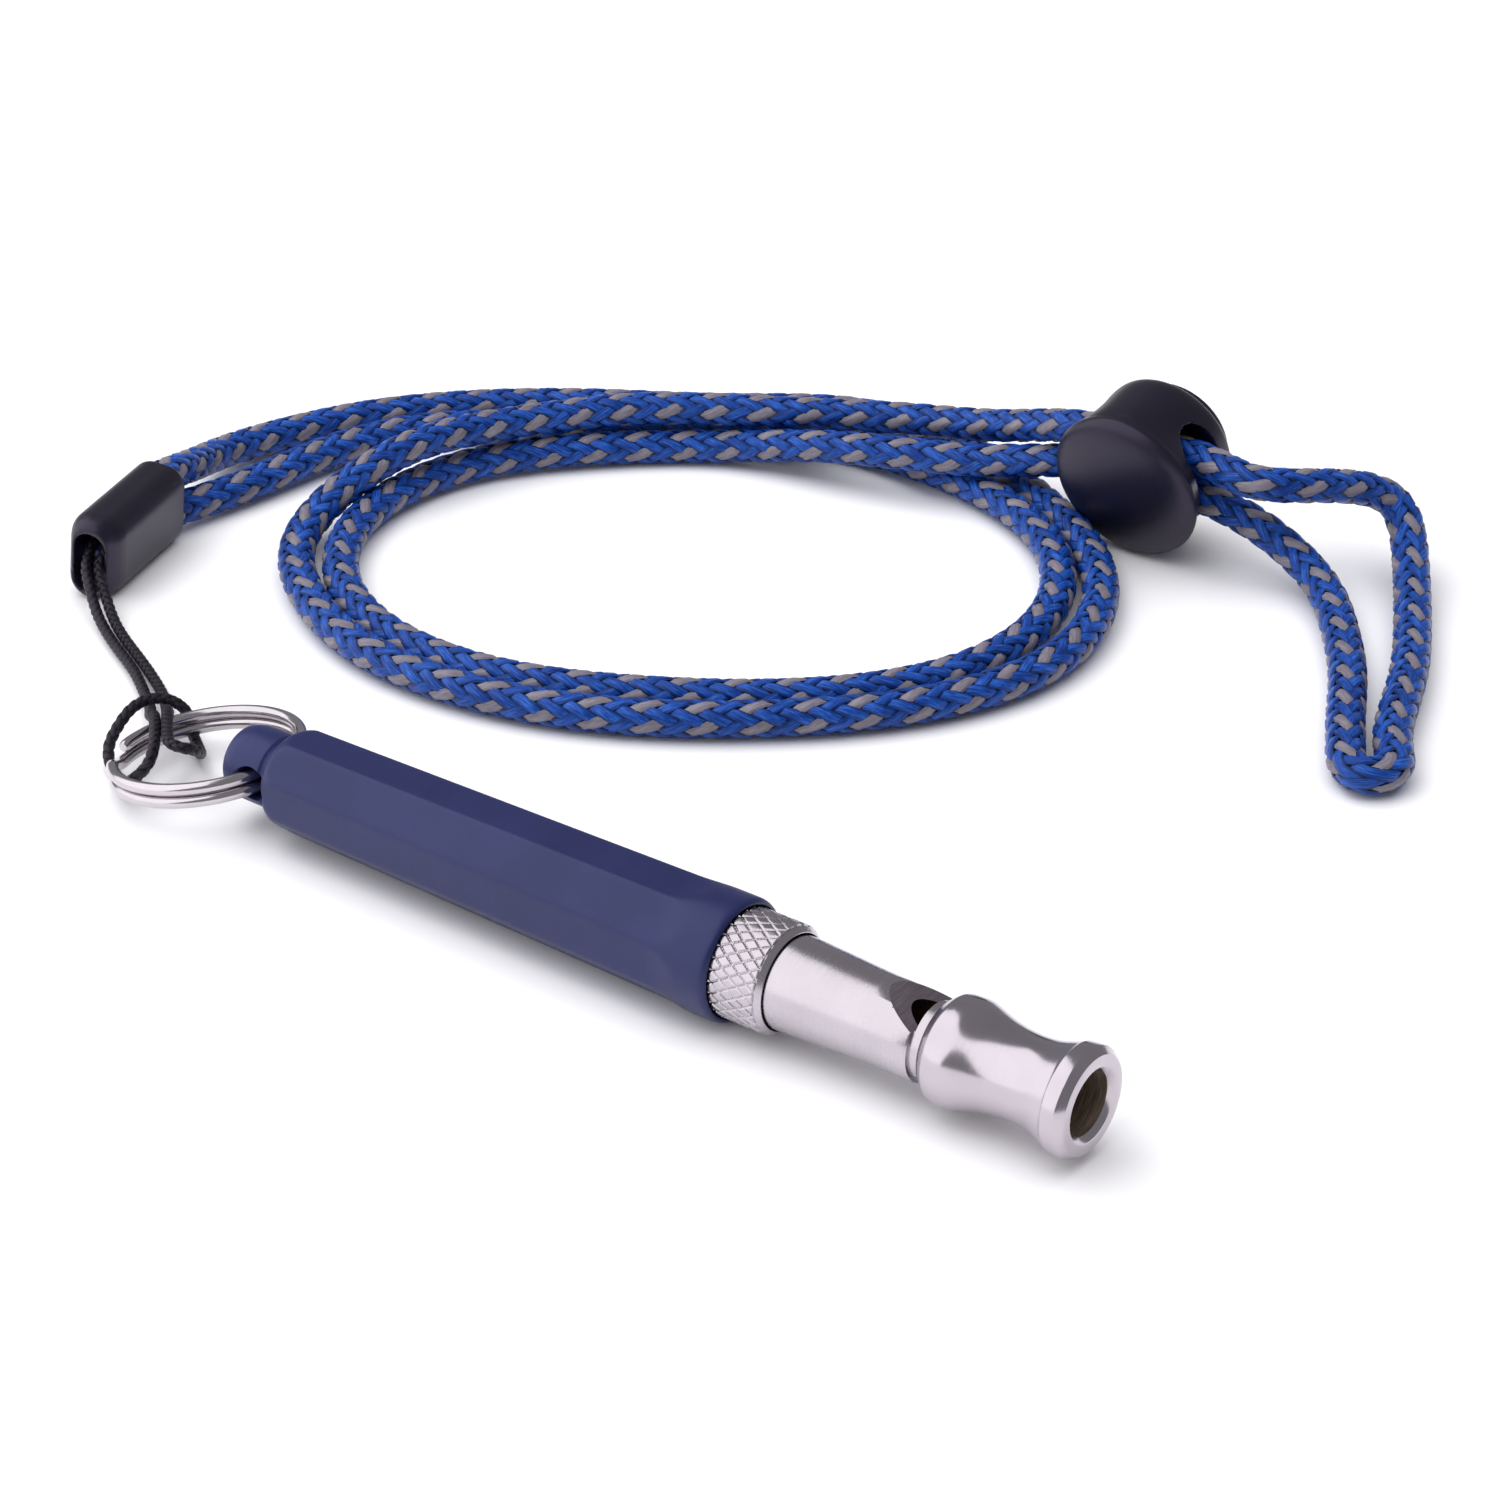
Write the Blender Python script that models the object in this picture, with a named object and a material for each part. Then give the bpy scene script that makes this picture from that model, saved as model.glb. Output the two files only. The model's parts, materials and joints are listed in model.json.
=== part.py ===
"""Adjustable silent training whistle on a split ring, with a braided neck lanyard and a cord lock.

The whistle lies along X with its mouthpiece at +X, and stands on the floor, z = 0. Sizes are in metres.
"""

import math

import bmesh
import bpy
from mathutils import Matrix, Vector

MM = 0.001

# Driving dimensions of the whistle.
LENGTH = 82 * MM
FRONT_X = 47.15 * MM  # the mouthpiece's front face
AXIS_Z = 4.95 * MM  # the whistle's axis over the floor

# The navy barrel: an eight-sided sleeve with a round collar, and a stub with a cross hole.
COLLAR_R = 4.95 * MM
FLAT_FRONT = 4.60 * MM
FLAT_REAR = 4.07 * MM
CORNER_SHARE = 1.072  # a corner's reach over a flat's
BARREL_SIDES = 48
THREAD_BORE_R = 3.55 * MM
REAR_BORE_R = 3.0 * MM
STUB_R = 3.15 * MM
HOLE_X = -31.35 * MM
HOLE_R = 1.45 * MM

# The nickel tube, nut and mouthpiece.
SHANK_R = 3.25 * MM
TUBE_R_REAR = 3.72 * MM
TUBE_R_FRONT = 3.40 * MM
TUBE_BORE_R = 2.65 * MM
SPIGOT_R = 3.05 * MM
SOCKET_R = 3.35 * MM
MOUTH_BORE_R = 2.5 * MM
NUT_R = 4.37 * MM
NUT_TEETH = 44
NUT_TOOTH = 0.13 * MM

# The plunger inside the tube.
ROD_R = 1.2 * MM
PISTON_R = 2.3 * MM

# The split ring.
RING_R = 7.8 * MM
RING_WIRE_R = 0.525 * MM
RING_PITCH = 1.10 * MM
RING_CENTRE = Vector((-39.05, 0.0, 3.65)) * MM
RING_TILT = math.radians(9.2)

# The lanyard and the thin tether.
CORD_R = 1.65 * MM
TETHER_R = 0.5 * MM

# The cord end, a rounded hollow block that stands on its narrow side and leans a little.
# END_REAR is the middle of its rear face.
END_REAR = Vector((-76.6, 31.98, 3.97)) * MM
END_HEADING = Vector((0.30, -0.954, 0.0)).normalized()
END_ROLL = math.radians(7.0)
END_WIDTH = 5.2 * MM
END_HEIGHT = 7.8 * MM

# The cord lock. Its own frame has Z along the button's travel and Y upwards.
LOCK_CENTRE = Vector((-2.8, 82.25, 7.3)) * MM
LOCK_TILT = math.radians(15.0)
LOCK_CAVITY_R = 4.6 * MM
LOCK_STEM_R = 4.4 * MM
LOCK_MOUTH_R = 5.45 * MM
LOCK_HEAD_R = 5.25 * MM

# The lanyard's route, in millimetres: out of the cord end, round the loop, through the cord lock,
# out to the free loop and back through the lock, round the loop again and into the cord end.
LANYARD_ROUTE = [
    (-75.87, 29.07, 5.83), (-76.47, 30.97, 5.83), (-77.07, 32.88, 5.79), (-79.4, 38.9, 4.1),
    (-82.2, 47.0, 2.0), (-78.6, 58.7, 1.8), (-71.0, 69.0, 1.8),
    (-61.2, 77.0, 1.8), (-50.4, 83.9, 1.8), (-39.6, 90.9, 1.8), (-27.3, 91.1, 1.8), (-15.2, 86.2, 1.8),
    (-4.6, 79.4, 1.8), (3.1, 69.0, 1.8), (4.9, 56.6, 1.8), (0.0, 44.8, 1.8), (-8.5, 35.6, 1.8),
    (-19.3, 28.1, 1.8), (-31.2, 24.1, 1.8), (-43.9, 24.2, 1.8), (-55.6, 29.2, 1.8), (-64.1, 38.4, 2.3),
    (-63.7, 50.7, 5.4), (-60.1, 62.9, 5.1), (-52.5, 73.0, 5.1), (-41.9, 80.2, 5.1), (-30.5, 86.4, 5.3),
    (-20.0, 87.6, 7.0), (-9.8, 86.3, 10.1), (-2.8, 86.2, 10.4), (3.4, 86.1, 10.5), (9.0, 85.2, 10.3),
    (13.7, 90.4, 9.3), (17.4, 96.6, 6.3), (21.8, 92.2, 3.2), (26.8, 83.6, 1.9), (31.1, 74.9, 1.8),
    (34.6, 66.1, 1.8), (36.6, 62.6, 1.8), (37.8, 59.7, 1.8), (36.7, 57.8, 1.8), (34.6, 58.5, 1.8),
    (32.8, 61.2, 1.8), (30.9, 64.5, 1.8), (26.8, 72.1, 1.8), (22.0, 79.2, 1.8), (16.0, 85.6, 2.4),
    (9.2, 87.4, 4.7), (2.7, 87.3, 6.2), (-2.8, 87.1, 6.7), (-8.8, 86.9, 6.6), (-19.5, 83.9, 4.9),
    (-32.3, 79.8, 4.1), (-44.2, 77.0, 2.0), (-54.9, 68.5, 1.8), (-62.0, 57.8, 1.8), (-62.4, 45.0, 1.8),
    (-55.8, 34.0, 1.8), (-44.4, 27.8, 1.8), (-31.5, 27.7, 1.8), (-19.5, 32.7, 1.8), (-8.8, 40.3, 1.8),
    (-1.0, 50.8, 1.8), (0.4, 63.4, 1.8), (-5.3, 75.2, 1.8), (-15.7, 82.5, 1.8), (-28.9, 85.0, 1.8),
    (-41.5, 82.9, 1.8), (-52.6, 75.9, 1.8), (-63.5, 68.8, 1.8), (-72.5, 59.4, 1.8), (-75.1, 46.7, 1.9),
    (-76.1, 39.3, 1.8), (-76.73, 33.0, 2.1), (-76.13, 31.09, 2.12), (-75.53, 29.18, 2.12),
]

# The tether's route: out of the cord end, over the ring, under it, round as a lark's head, and back.
TETHER_ROUTE = [
    (-74.21, 21.72, 5.2), (-73.5, 20.1, 4.4), (-72.6, 18.6, 3.4), (-70.7, 17.1, 2.3), (-68.6, 15.7, 1.4),
    (-65.8, 14.1, 0.9), (-61.9, 12.1, 0.8), (-58.2, 10.2, 0.8), (-53.7, 7.2, 1.0), (-51.4, 5.4, 1.5),
    (-49.7, 3.8, 2.2), (-48.0, 2.5, 3.4), (-46.4, 1.2, 4.2), (-44.3, -0.8, 4.5), (-42.6, -2.7, 4.3),
    (-41.9, -4.2, 3.6), (-43.0, -5.0, 2.2), (-44.8, -4.6, 1.1), (-46.6, -3.4, 0.7), (-48.6, -2.2, 0.9),
    (-49.6, -1.1, 1.7), (-49.7, 0.1, 2.8), (-49.8, 1.4, 3.5), (-49.8, 2.8, 3.8), (-49.4, 4.1, 3.8),
    (-48.6, 5.1, 3.5), (-47.7, 5.7, 2.8), (-47.1, 5.9, 1.8), (-46.5, 5.5, 0.9), (-45.4, 4.7, 0.75),
    (-44.0, 3.7, 0.9), (-42.4, 2.3, 1.7), (-40.9, 0.9, 2.9), (-39.9, -0.4, 4.0), (-39.9, -1.7, 4.8),
    (-41.0, -2.1, 5.0), (-42.7, -0.9, 4.8), (-44.6, 0.9, 4.6), (-46.3, 2.6, 4.2), (-47.6, 3.8, 3.4),
    (-48.9, 5.1, 2.2), (-50.7, 6.6, 1.5), (-53.0, 8.5, 1.0), (-58.1, 11.5, 0.8), (-61.6, 13.25, 0.8),
    (-65.3, 15.15, 0.9), (-68.0, 16.75, 1.5), (-70.1, 18.1, 2.4), (-71.7, 19.3, 3.4), (-72.3, 20.7, 4.4),
    (-72.97, 22.11, 5.2),
]


# ---------------------------------------------------------------------------------------------
# Materials


def material(name, colour, roughness, metallic=0.0, coat=0.0):
    """A Principled BSDF material with this colour and finish."""
    made = bpy.data.materials.new(name)
    made.use_nodes = True
    shader = made.node_tree.nodes["Principled BSDF"]
    shader.inputs["Base Color"].default_value = (*colour, 1.0)
    shader.inputs["Roughness"].default_value = roughness
    shader.inputs["Metallic"].default_value = metallic
    shader.inputs["Coat Weight"].default_value = coat
    made.diffuse_color = (*colour, 1.0)
    return made


def make_materials():
    """One material for each finish, by its slot's name."""
    return {
        "navy_anodised": material("navy_anodised", (0.022, 0.03, 0.14), 0.36, 0.55),
        "nickel": material("nickel", (0.74, 0.70, 0.70), 0.16, 1.0),
        "spring_steel": material("spring_steel", (0.72, 0.69, 0.68), 0.2, 1.0),
        "seal_rubber": material("seal_rubber", (0.02, 0.02, 0.022), 0.6),
        "blue_braid": material("blue_braid", (0.02, 0.075, 0.42), 0.55),
        "black_braid": material("black_braid", (0.014, 0.014, 0.018), 0.6),
        "black_plastic": material("black_plastic", (0.02, 0.019, 0.026), 0.34, 0.0, 0.15),
    }


# ---------------------------------------------------------------------------------------------
# Mesh helpers


def new_object(name, bm, slot=None):
    """The bmesh as an object with its normals outwards."""
    bmesh.ops.recalc_face_normals(bm, faces=bm.faces)
    mesh = bpy.data.meshes.new(name)
    bm.to_mesh(mesh)
    bm.free()
    obj = bpy.data.objects.new(name, mesh)
    bpy.context.scene.collection.objects.link(obj)
    if slot is not None:
        mesh.materials.append(slot)
    return obj


def loft(rings, close_ends=True, closed_loop=False):
    """A bmesh skin over rings of points, each with the same number of points."""
    bm = bmesh.new()
    made = [[bm.verts.new(point) for point in ring] for ring in rings]
    pairs = list(zip(made, made[1:]))
    if closed_loop:
        pairs.append((made[-1], made[0]))
    for ring, following in pairs:
        count = len(ring)
        for index in range(count):
            after = (index + 1) % count
            bm.faces.new((ring[index], ring[after], following[after], following[index]))
    if close_ends and not closed_loop:
        bm.faces.new(made[0])
        bm.faces.new(made[-1])
    return bm


def ring_about_x(x, radius, sides, turn=0.0):
    """A circle of points about the whistle's axis, at this x."""
    points = []
    for index in range(sides):
        angle = turn + 2 * math.pi * index / sides
        points.append(Vector((x, radius * math.cos(angle), AXIS_Z + radius * math.sin(angle))))
    return points


def turned(name, profile, sides, slot=None):
    """A solid turned about the whistle's axis, from (x, radius) points along its outer surface."""
    rings = [ring_about_x(x, radius, sides, math.pi / sides) for x, radius in profile]
    return new_object(name, loft(rings), slot)


def turned_shell(name, profile, sides, slot=None):
    """A turned solid with a hole right through it: the (x, radius) profile is a closed outline."""
    rings = [ring_about_x(x, radius, sides, math.pi / sides) for x, radius in profile]
    return new_object(name, loft(rings, closed_loop=True), slot)


def as_cutter(obj):
    obj.hide_render = True
    obj.display_type = "WIRE"
    return obj


def boolean(obj, cutter, operation="DIFFERENCE"):
    """An exact Boolean of obj with the cutter."""
    modifier = obj.modifiers.new(cutter.name, "BOOLEAN")
    modifier.operation = operation
    modifier.solver = "EXACT"
    modifier.object = as_cutter(cutter)
    return obj


def from_front(distance_mm):
    """The x of a station this many millimetres behind the mouthpiece's front face."""
    return FRONT_X - distance_mm * MM


def smooth_route(route_mm, per_span):
    """Points in metres on the natural cubic through the route, per_span points for each span."""
    points = [Vector(point) * MM for point in route_mm]
    count = len(points)
    knots = [0.0]
    for before, after in zip(points, points[1:]):
        knots.append(knots[-1] + math.sqrt((after - before).length))
    spans = [after - before for before, after in zip(knots, knots[1:])]
    upper = [0.0] * count
    bends = [Vector((0.0, 0.0, 0.0)) for _ in points]
    for index in range(1, count - 1):
        left = spans[index - 1]
        right = spans[index]
        slope = (points[index + 1] - points[index]) / right - (points[index] - points[index - 1]) / left
        pivot = 2 * (left + right) - left * upper[index - 1]
        upper[index] = right / pivot
        bends[index] = (6 * slope - left * bends[index - 1]) / pivot
    for index in range(count - 2, 0, -1):
        bends[index] = bends[index] - upper[index] * bends[index + 1]
    smooth = []
    for index, span in enumerate(spans):
        for step in range(per_span):
            far = step / per_span
            near = 1 - far
            point = near * points[index] + far * points[index + 1]
            point += ((near**3 - near) * bends[index] + (far**3 - far) * bends[index + 1]) * span**2 / 6
            smooth.append(point)
    smooth.append(points[-1])
    return smooth


def spaced(points, spacing, tight_spacing):
    """Some of the points, about spacing apart, and tight_spacing apart where the line bends hard."""
    kept = [points[0]]
    since = 0.0
    turned_by = 0.0
    for before, here, after in zip(points, points[1:], points[2:]):
        since += (here - before).length
        turned_by += (here - before).angle(after - here, 0.0)
        if since >= spacing or (turned_by > math.radians(15) and since >= tight_spacing):
            kept.append(here)
            since = 0.0
            turned_by = 0.0
    kept.append(points[-1])
    return kept


def tube(name, points, radius, slot, bevel_resolution=2):
    """A cord's plain tube through the points."""
    curve = bpy.data.curves.new(name, "CURVE")
    curve.dimensions = "3D"
    curve.bevel_depth = radius
    curve.bevel_resolution = bevel_resolution
    curve.use_fill_caps = True
    spline = curve.splines.new("POLY")
    spline.points.add(len(points) - 1)
    for target, point in zip(spline.points, points):
        target.co = (*point, 1.0)
    obj = bpy.data.objects.new(name, curve)
    bpy.context.scene.collection.objects.link(obj)
    curve.materials.append(slot)
    return obj


def wire(points, ups, radius, sides):
    """A bmesh tube along the points, each with its own up direction across the wire."""
    rings = []
    for index, (point, up) in enumerate(zip(points, ups)):
        before = points[max(index - 1, 0)]
        after = points[min(index + 1, len(points) - 1)]
        across = (after - before).cross(up).normalized()
        ring = []
        for side in range(sides):
            angle = 2 * math.pi * side / sides
            ring.append(point + radius * (math.cos(angle) * across + math.sin(angle) * up))
        rings.append(ring)
    return loft(rings)


def move_origin(obj, point):
    """Puts the object's origin at the point, with its shape staying where it is."""
    obj.data.transform(Matrix.Translation(-point))
    obj.location = point


# ---------------------------------------------------------------------------------------------
# The whistle


def octagon_section(x, flat):
    """An eight-sided section with flats straight up and down and slightly blunted corners."""
    points = []
    for index in range(BARREL_SIDES):
        angle = 2 * math.pi * index / BARREL_SIDES
        from_middle = (angle + math.pi / 8) % (math.pi / 4) - math.pi / 8
        reach = min(flat / math.cos(from_middle), flat * CORNER_SHARE)
        points.append(Vector((x, reach * math.cos(angle), AXIS_Z + reach * math.sin(angle))))
    return points


def add_barrel(slot):
    """The eight-sided sleeve, its neck and the stub with the cross hole."""
    rings = []
    ends = (
        (LENGTH / MM, 2.3), (81.8, 2.75), (81.3, 3.02), (80.6, STUB_R / MM), (77.7, STUB_R / MM),
        (77.4, 2.95), (77.0, 2.9), (76.8, 3.2), (76.4, 3.72), (75.9, 3.98),
    )
    for distance, radius in ends:
        rings.append(ring_about_x(from_front(distance), radius * MM, BARREL_SIDES))
    rings.append(octagon_section(from_front(75.2), FLAT_REAR))
    rings.append(octagon_section(from_front(36.4), FLAT_FRONT))
    collar = ((34.7, 0.15), (33.7, 0.07), (33.1, 0.01), (32.6, 0.0), (31.3, 0.0), (30.9, 0.07), (30.7, 0.18))
    for distance, below in collar:
        rings.append(ring_about_x(from_front(distance), COLLAR_R - below * MM, BARREL_SIDES))
    barrel = new_object("barrel", loft(rings), slot)

    bore = [
        (from_front(70.5), 1.0 * MM),
        (from_front(70.4), REAR_BORE_R),
        (from_front(52.5), REAR_BORE_R),
        (from_front(52.1), THREAD_BORE_R),
        (from_front(32.2), THREAD_BORE_R),
        (from_front(31.6), 4.62 * MM),
        (from_front(30.0), 4.62 * MM),
    ]
    boolean(barrel, turned("sleeve_bore", bore, 32))

    hole = bmesh.new()
    bmesh.ops.create_cone(
        hole, cap_ends=True, segments=24, radius1=HOLE_R, radius2=HOLE_R, depth=10 * MM
    )
    cross = new_object("cross_hole", hole)
    cross.location = (HOLE_X, 0.0, AXIS_Z)
    cross.rotation_euler = (math.pi / 2, 0.0, 0.0)
    boolean(barrel, cross)
    return barrel


def add_plunger(slot, seal_slot):
    """The rod pressed into the barrel's blind end, with the piston that closes the tube, and its seal."""
    profile = [
        (from_front(70.1), ROD_R),
        (from_front(26.4), ROD_R),
        (from_front(25.9), PISTON_R),
        (from_front(24.4), PISTON_R),
        (from_front(24.2), 1.75 * MM),
        (from_front(23.2), 1.75 * MM),
        (from_front(23.0), PISTON_R),
        (from_front(21.2), PISTON_R),
        (from_front(21.0), 2.1 * MM),
    ]
    rod = turned("plunger_rod", profile, 24, slot)
    seal = []
    for step in range(8):
        angle = 2 * math.pi * step / 8
        seal.append((from_front(23.7) + 0.32 * MM * math.cos(angle), 2.12 * MM + 0.3 * MM * math.sin(angle)))
    return rod, turned_shell("piston_seal", seal, 24, seal_slot)


def add_tube(slot):
    """The threaded shank, the tapered body with its window, and the spigot in the mouthpiece."""
    outline = [
        (from_front(51.0), 2.95 * MM),
        (from_front(50.5), SHANK_R),
        (from_front(27.6), SHANK_R),
        (from_front(27.2), 3.62 * MM),
        (from_front(26.0), TUBE_R_REAR),
        (from_front(24.6), 3.68 * MM),
        (from_front(22.0), 3.57 * MM),
        (from_front(19.6), 3.45 * MM),
        (from_front(17.5), TUBE_R_FRONT),
        (from_front(13.75), TUBE_R_FRONT),
        (from_front(13.7), SPIGOT_R),
        (from_front(9.7), SPIGOT_R),
        (from_front(9.7), TUBE_BORE_R),
        (from_front(51.0), TUBE_BORE_R),
    ]
    obj = turned_shell("whistle_tube", outline, 40, slot)
    # The window's cut slopes down to the front, a little dished where it starts.
    side = [
        (from_front(17.95), 3.6),
        (from_front(17.2), 3.05),
        (from_front(16.2), 2.72),
        (from_front(15.0), 2.24),
        (from_front(13.85), 1.8),
        (from_front(13.85), 5.0),
        (from_front(17.95), 5.0),
    ]
    rings = []
    for y in (-5 * MM, 5 * MM):
        rings.append([Vector((x, y, AXIS_Z + height * MM)) for x, height in side])
    boolean(obj, new_object("window_cut", loft(rings)))
    return obj


def add_plug(slot):
    """The plug in the mouthpiece's bore, with the flat that leaves the windway above it."""
    profile = [(from_front(13.2), 2.35 * MM), (from_front(9.6), 2.35 * MM), (from_front(9.3), 2.2 * MM)]
    obj = turned("windway_plug", profile, 24, slot)
    rings = []
    for x in (from_front(14), from_front(9)):
        corners = ((-3, 1.75), (3, 1.75), (3, 4), (-3, 4))
        rings.append([Vector((x, y * MM, AXIS_Z + z * MM)) for y, z in corners])
    boolean(obj, new_object("windway_cut", loft(rings)))
    return obj


def add_mouthpiece(slot):
    """The flared mouthpiece: front flange, hollow waist and rear flange, with its bore and socket."""
    outer = [
        (13.35, 3.55), (13.2, 3.72), (12.9, 3.95), (12.45, 4.12), (12.0, 4.22), (11.2, 4.24), (10.6, 4.17),
        (10.0, 4.0), (9.3, 3.79), (8.5, 3.62), (7.5, 3.43), (6.5, 3.33), (5.5, 3.31), (4.7, 3.36),
        (4.1, 3.46), (3.5, 3.6), (3.0, 3.74), (2.4, 3.93), (1.8, 4.16), (1.4, 4.25), (0.9, 4.3),
        (0.35, 4.3), (0.1, 4.22), (0.0, 4.08),
    ]
    bore = MOUTH_BORE_R / MM
    inner = [(0.0, bore + 0.22), (0.25, bore), (9.25, bore), (9.35, SOCKET_R / MM), (13.35, SOCKET_R / MM)]
    outline = [(from_front(distance), radius * MM) for distance, radius in outer + inner]
    return turned_shell("mouthpiece", outline, 40, slot)


def add_lock_nut(slot):
    """The round nut with straight knurling at the barrel's side and a smooth bevelled rim."""
    sides = NUT_TEETH * 2
    root = (NUT_R - NUT_TOOTH) / MM
    rings = []
    plan = [
        (31.3, 4.12, 0.0), (31.1, root, 0.0), (30.9, root, 1.0), (28.2, root, 1.0), (28.0, 4.2, 0.0),
        (27.8, 4.14, 0.0), (27.6, 4.3, 0.0), (27.3, 4.32, 0.0), (26.7, 4.1, 0.0), (26.25, 3.95, 0.0),
        (26.2, 3.87, 0.0), (26.6, 3.87, 0.0), (27.75, 3.82, 0.0), (27.9, 3.56, 0.0), (31.3, 3.56, 0.0),
    ]
    for distance, radius, toothed in plan:
        ring = []
        for index in range(sides):
            angle = 2 * math.pi * index / sides
            reach = radius * MM + (NUT_TOOTH if index % 2 == 0 else 0.0) * toothed
            x = from_front(distance)
            ring.append(Vector((x, reach * math.cos(angle), AXIS_Z + reach * math.sin(angle))))
        rings.append(ring)
    return new_object("lock_nut", loft(rings, closed_loop=True), slot)


# ---------------------------------------------------------------------------------------------
# The split ring and the cords


def add_split_ring(slot):
    """Two turns of wire that step from one level to the other beside their ends."""
    tilt = Matrix.Rotation(-RING_TILT, 4, "Y")
    points = []
    ups = []
    first = math.radians(16)
    last = math.radians(704)
    steps = 88
    for step in range(steps + 1):
        angle = first + (last - first) * step / steps
        rise = min(max((angle - math.radians(346)) / math.radians(28), 0.0), 1.0)
        level = (rise * rise * (3 - 2 * rise) - 0.5) * RING_PITCH
        turn = angle + math.radians(215)
        point = Vector((RING_R * math.cos(turn), RING_R * math.sin(turn), level))
        points.append(tilt @ point + RING_CENTRE)
        ups.append((tilt @ Vector((0.0, 0.0, 1.0))).normalized())
    return new_object("split_ring", wire(points, ups, RING_WIRE_R, 10), slot)


def add_lanyard(slot):
    points = spaced(smooth_route(LANYARD_ROUTE, 12), 8.6 * MM, 2.0 * MM)
    return tube("lanyard", points, CORD_R, slot)


def add_tether(slot):
    points = spaced(smooth_route(TETHER_ROUTE, 8), 2.4 * MM, 0.7 * MM)
    return tube("tether", points, TETHER_R, slot)


def end_point(along, across, up):
    """A point of the leaning cord end: along from its rear face, across and up from its middle, in metres."""
    side = Vector((-END_HEADING.y, END_HEADING.x, 0.0))
    level = across * math.cos(END_ROLL) + up * math.sin(END_ROLL)
    height = up * math.cos(END_ROLL) - across * math.sin(END_ROLL)
    return END_REAR + along * END_HEADING + level * side + Vector((0.0, 0.0, height))


def rounded_rectangle(half_width, low, high, corner, per_corner=3):
    """(across, up) points of a rectangle with round corners."""
    points = []
    centres = (
        (half_width - corner, high - corner, 0.0),
        (corner - half_width, high - corner, math.pi / 2),
        (corner - half_width, low + corner, math.pi),
        (half_width - corner, low + corner, 3 * math.pi / 2),
    )
    for across, up, start in centres:
        for step in range(per_corner + 1):
            angle = start + math.pi / 2 * step / per_corner
            points.append((across + corner * math.cos(angle), up + corner * math.sin(angle)))
    return points


def end_rings(stations):
    """The cord end's rings from (along, half width, low, high, corner) in millimetres from its middle."""
    rings = []
    for along, half, low, high, corner in stations:
        outline = rounded_rectangle(half * MM, low * MM, high * MM, corner * MM)
        rings.append([end_point(along * MM, across, up) for across, up in outline])
    return rings


def add_cord_end(slot):
    """The block that grips the lanyard's two ends at its rear and the tether's at its front."""
    wide = END_WIDTH / MM / 2
    tall = END_HEIGHT / MM / 2
    block = (
        (0.0, wide - 0.2, 0.15 - tall, tall - 0.15, 1.8),
        (0.5, wide, -tall, tall, 1.9),
        (11.7, wide, -tall, tall, 1.9),
        (12.9, wide - 0.3, -tall, tall - 0.1, 1.9),
        (13.8, wide - 0.75, 0.3 - tall, tall - 0.6, 1.7),
    )
    obj = new_object("cord_end", loft(end_rings(block)), slot)
    socket = ((-1.0, 2.25, -3.6, 3.6, 1.5), (2.0, 2.15, -3.55, 3.55, 1.5), (7.5, 2.15, -3.55, 3.55, 1.5))
    boolean(obj, new_object("lanyard_socket", loft(end_rings(socket))))
    mouth = ((9.0, 1.65, -0.4, 2.6, 1.2), (12.0, 1.65, -2.3, 2.7, 1.4), (14.5, 1.65, -3.4, 2.7, 1.5))
    boolean(obj, new_object("tether_mouth", loft(end_rings(mouth))))
    return obj


# ---------------------------------------------------------------------------------------------
# The cord lock


def lock_frame():
    """The matrix from the cord lock's frame to the world: Z along the travel, Y up, X across."""
    travel = Vector((0.0, math.cos(LOCK_TILT), math.sin(LOCK_TILT)))
    up = Vector((0.0, -math.sin(LOCK_TILT), math.cos(LOCK_TILT)))
    across = up.cross(travel)
    return Matrix((
        (across.x, up.x, travel.x, LOCK_CENTRE.x),
        (across.y, up.y, travel.y, LOCK_CENTRE.y),
        (across.z, up.z, travel.z, LOCK_CENTRE.z),
        (0.0, 0.0, 0.0, 1.0),
    ))


def lock_rings(stations, sides):
    """Elliptical rings in the lock's frame from (along, half across, half up) in millimetres."""
    rings = []
    for along, half_across, half_up in stations:
        ring = []
        for index in range(sides):
            angle = 2 * math.pi * index / sides + math.pi / sides
            ring.append(Vector((half_across * math.cos(angle), half_up * math.sin(angle), along)) * MM)
        rings.append(ring)
    return rings


def slot_cutter(name, near, far, half_up, round_ends):
    """A slot through the lock from side to side, between two places along its travel."""
    middle = (near + far) / 2
    half = (far - near) / 2
    section = []
    for end in (1, -1):
        for step in range(7):
            angle = math.pi * step / 6
            swing = half * math.cos(angle) * end
            rise = (half_up - round_ends + round_ends * math.sin(angle)) * end
            section.append((rise, middle + swing))
    rings = []
    for across in (-12.0, 12.0):
        rings.append([Vector((across, up, along)) * MM for up, along in section])
    return new_object(name, loft(rings))


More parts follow.
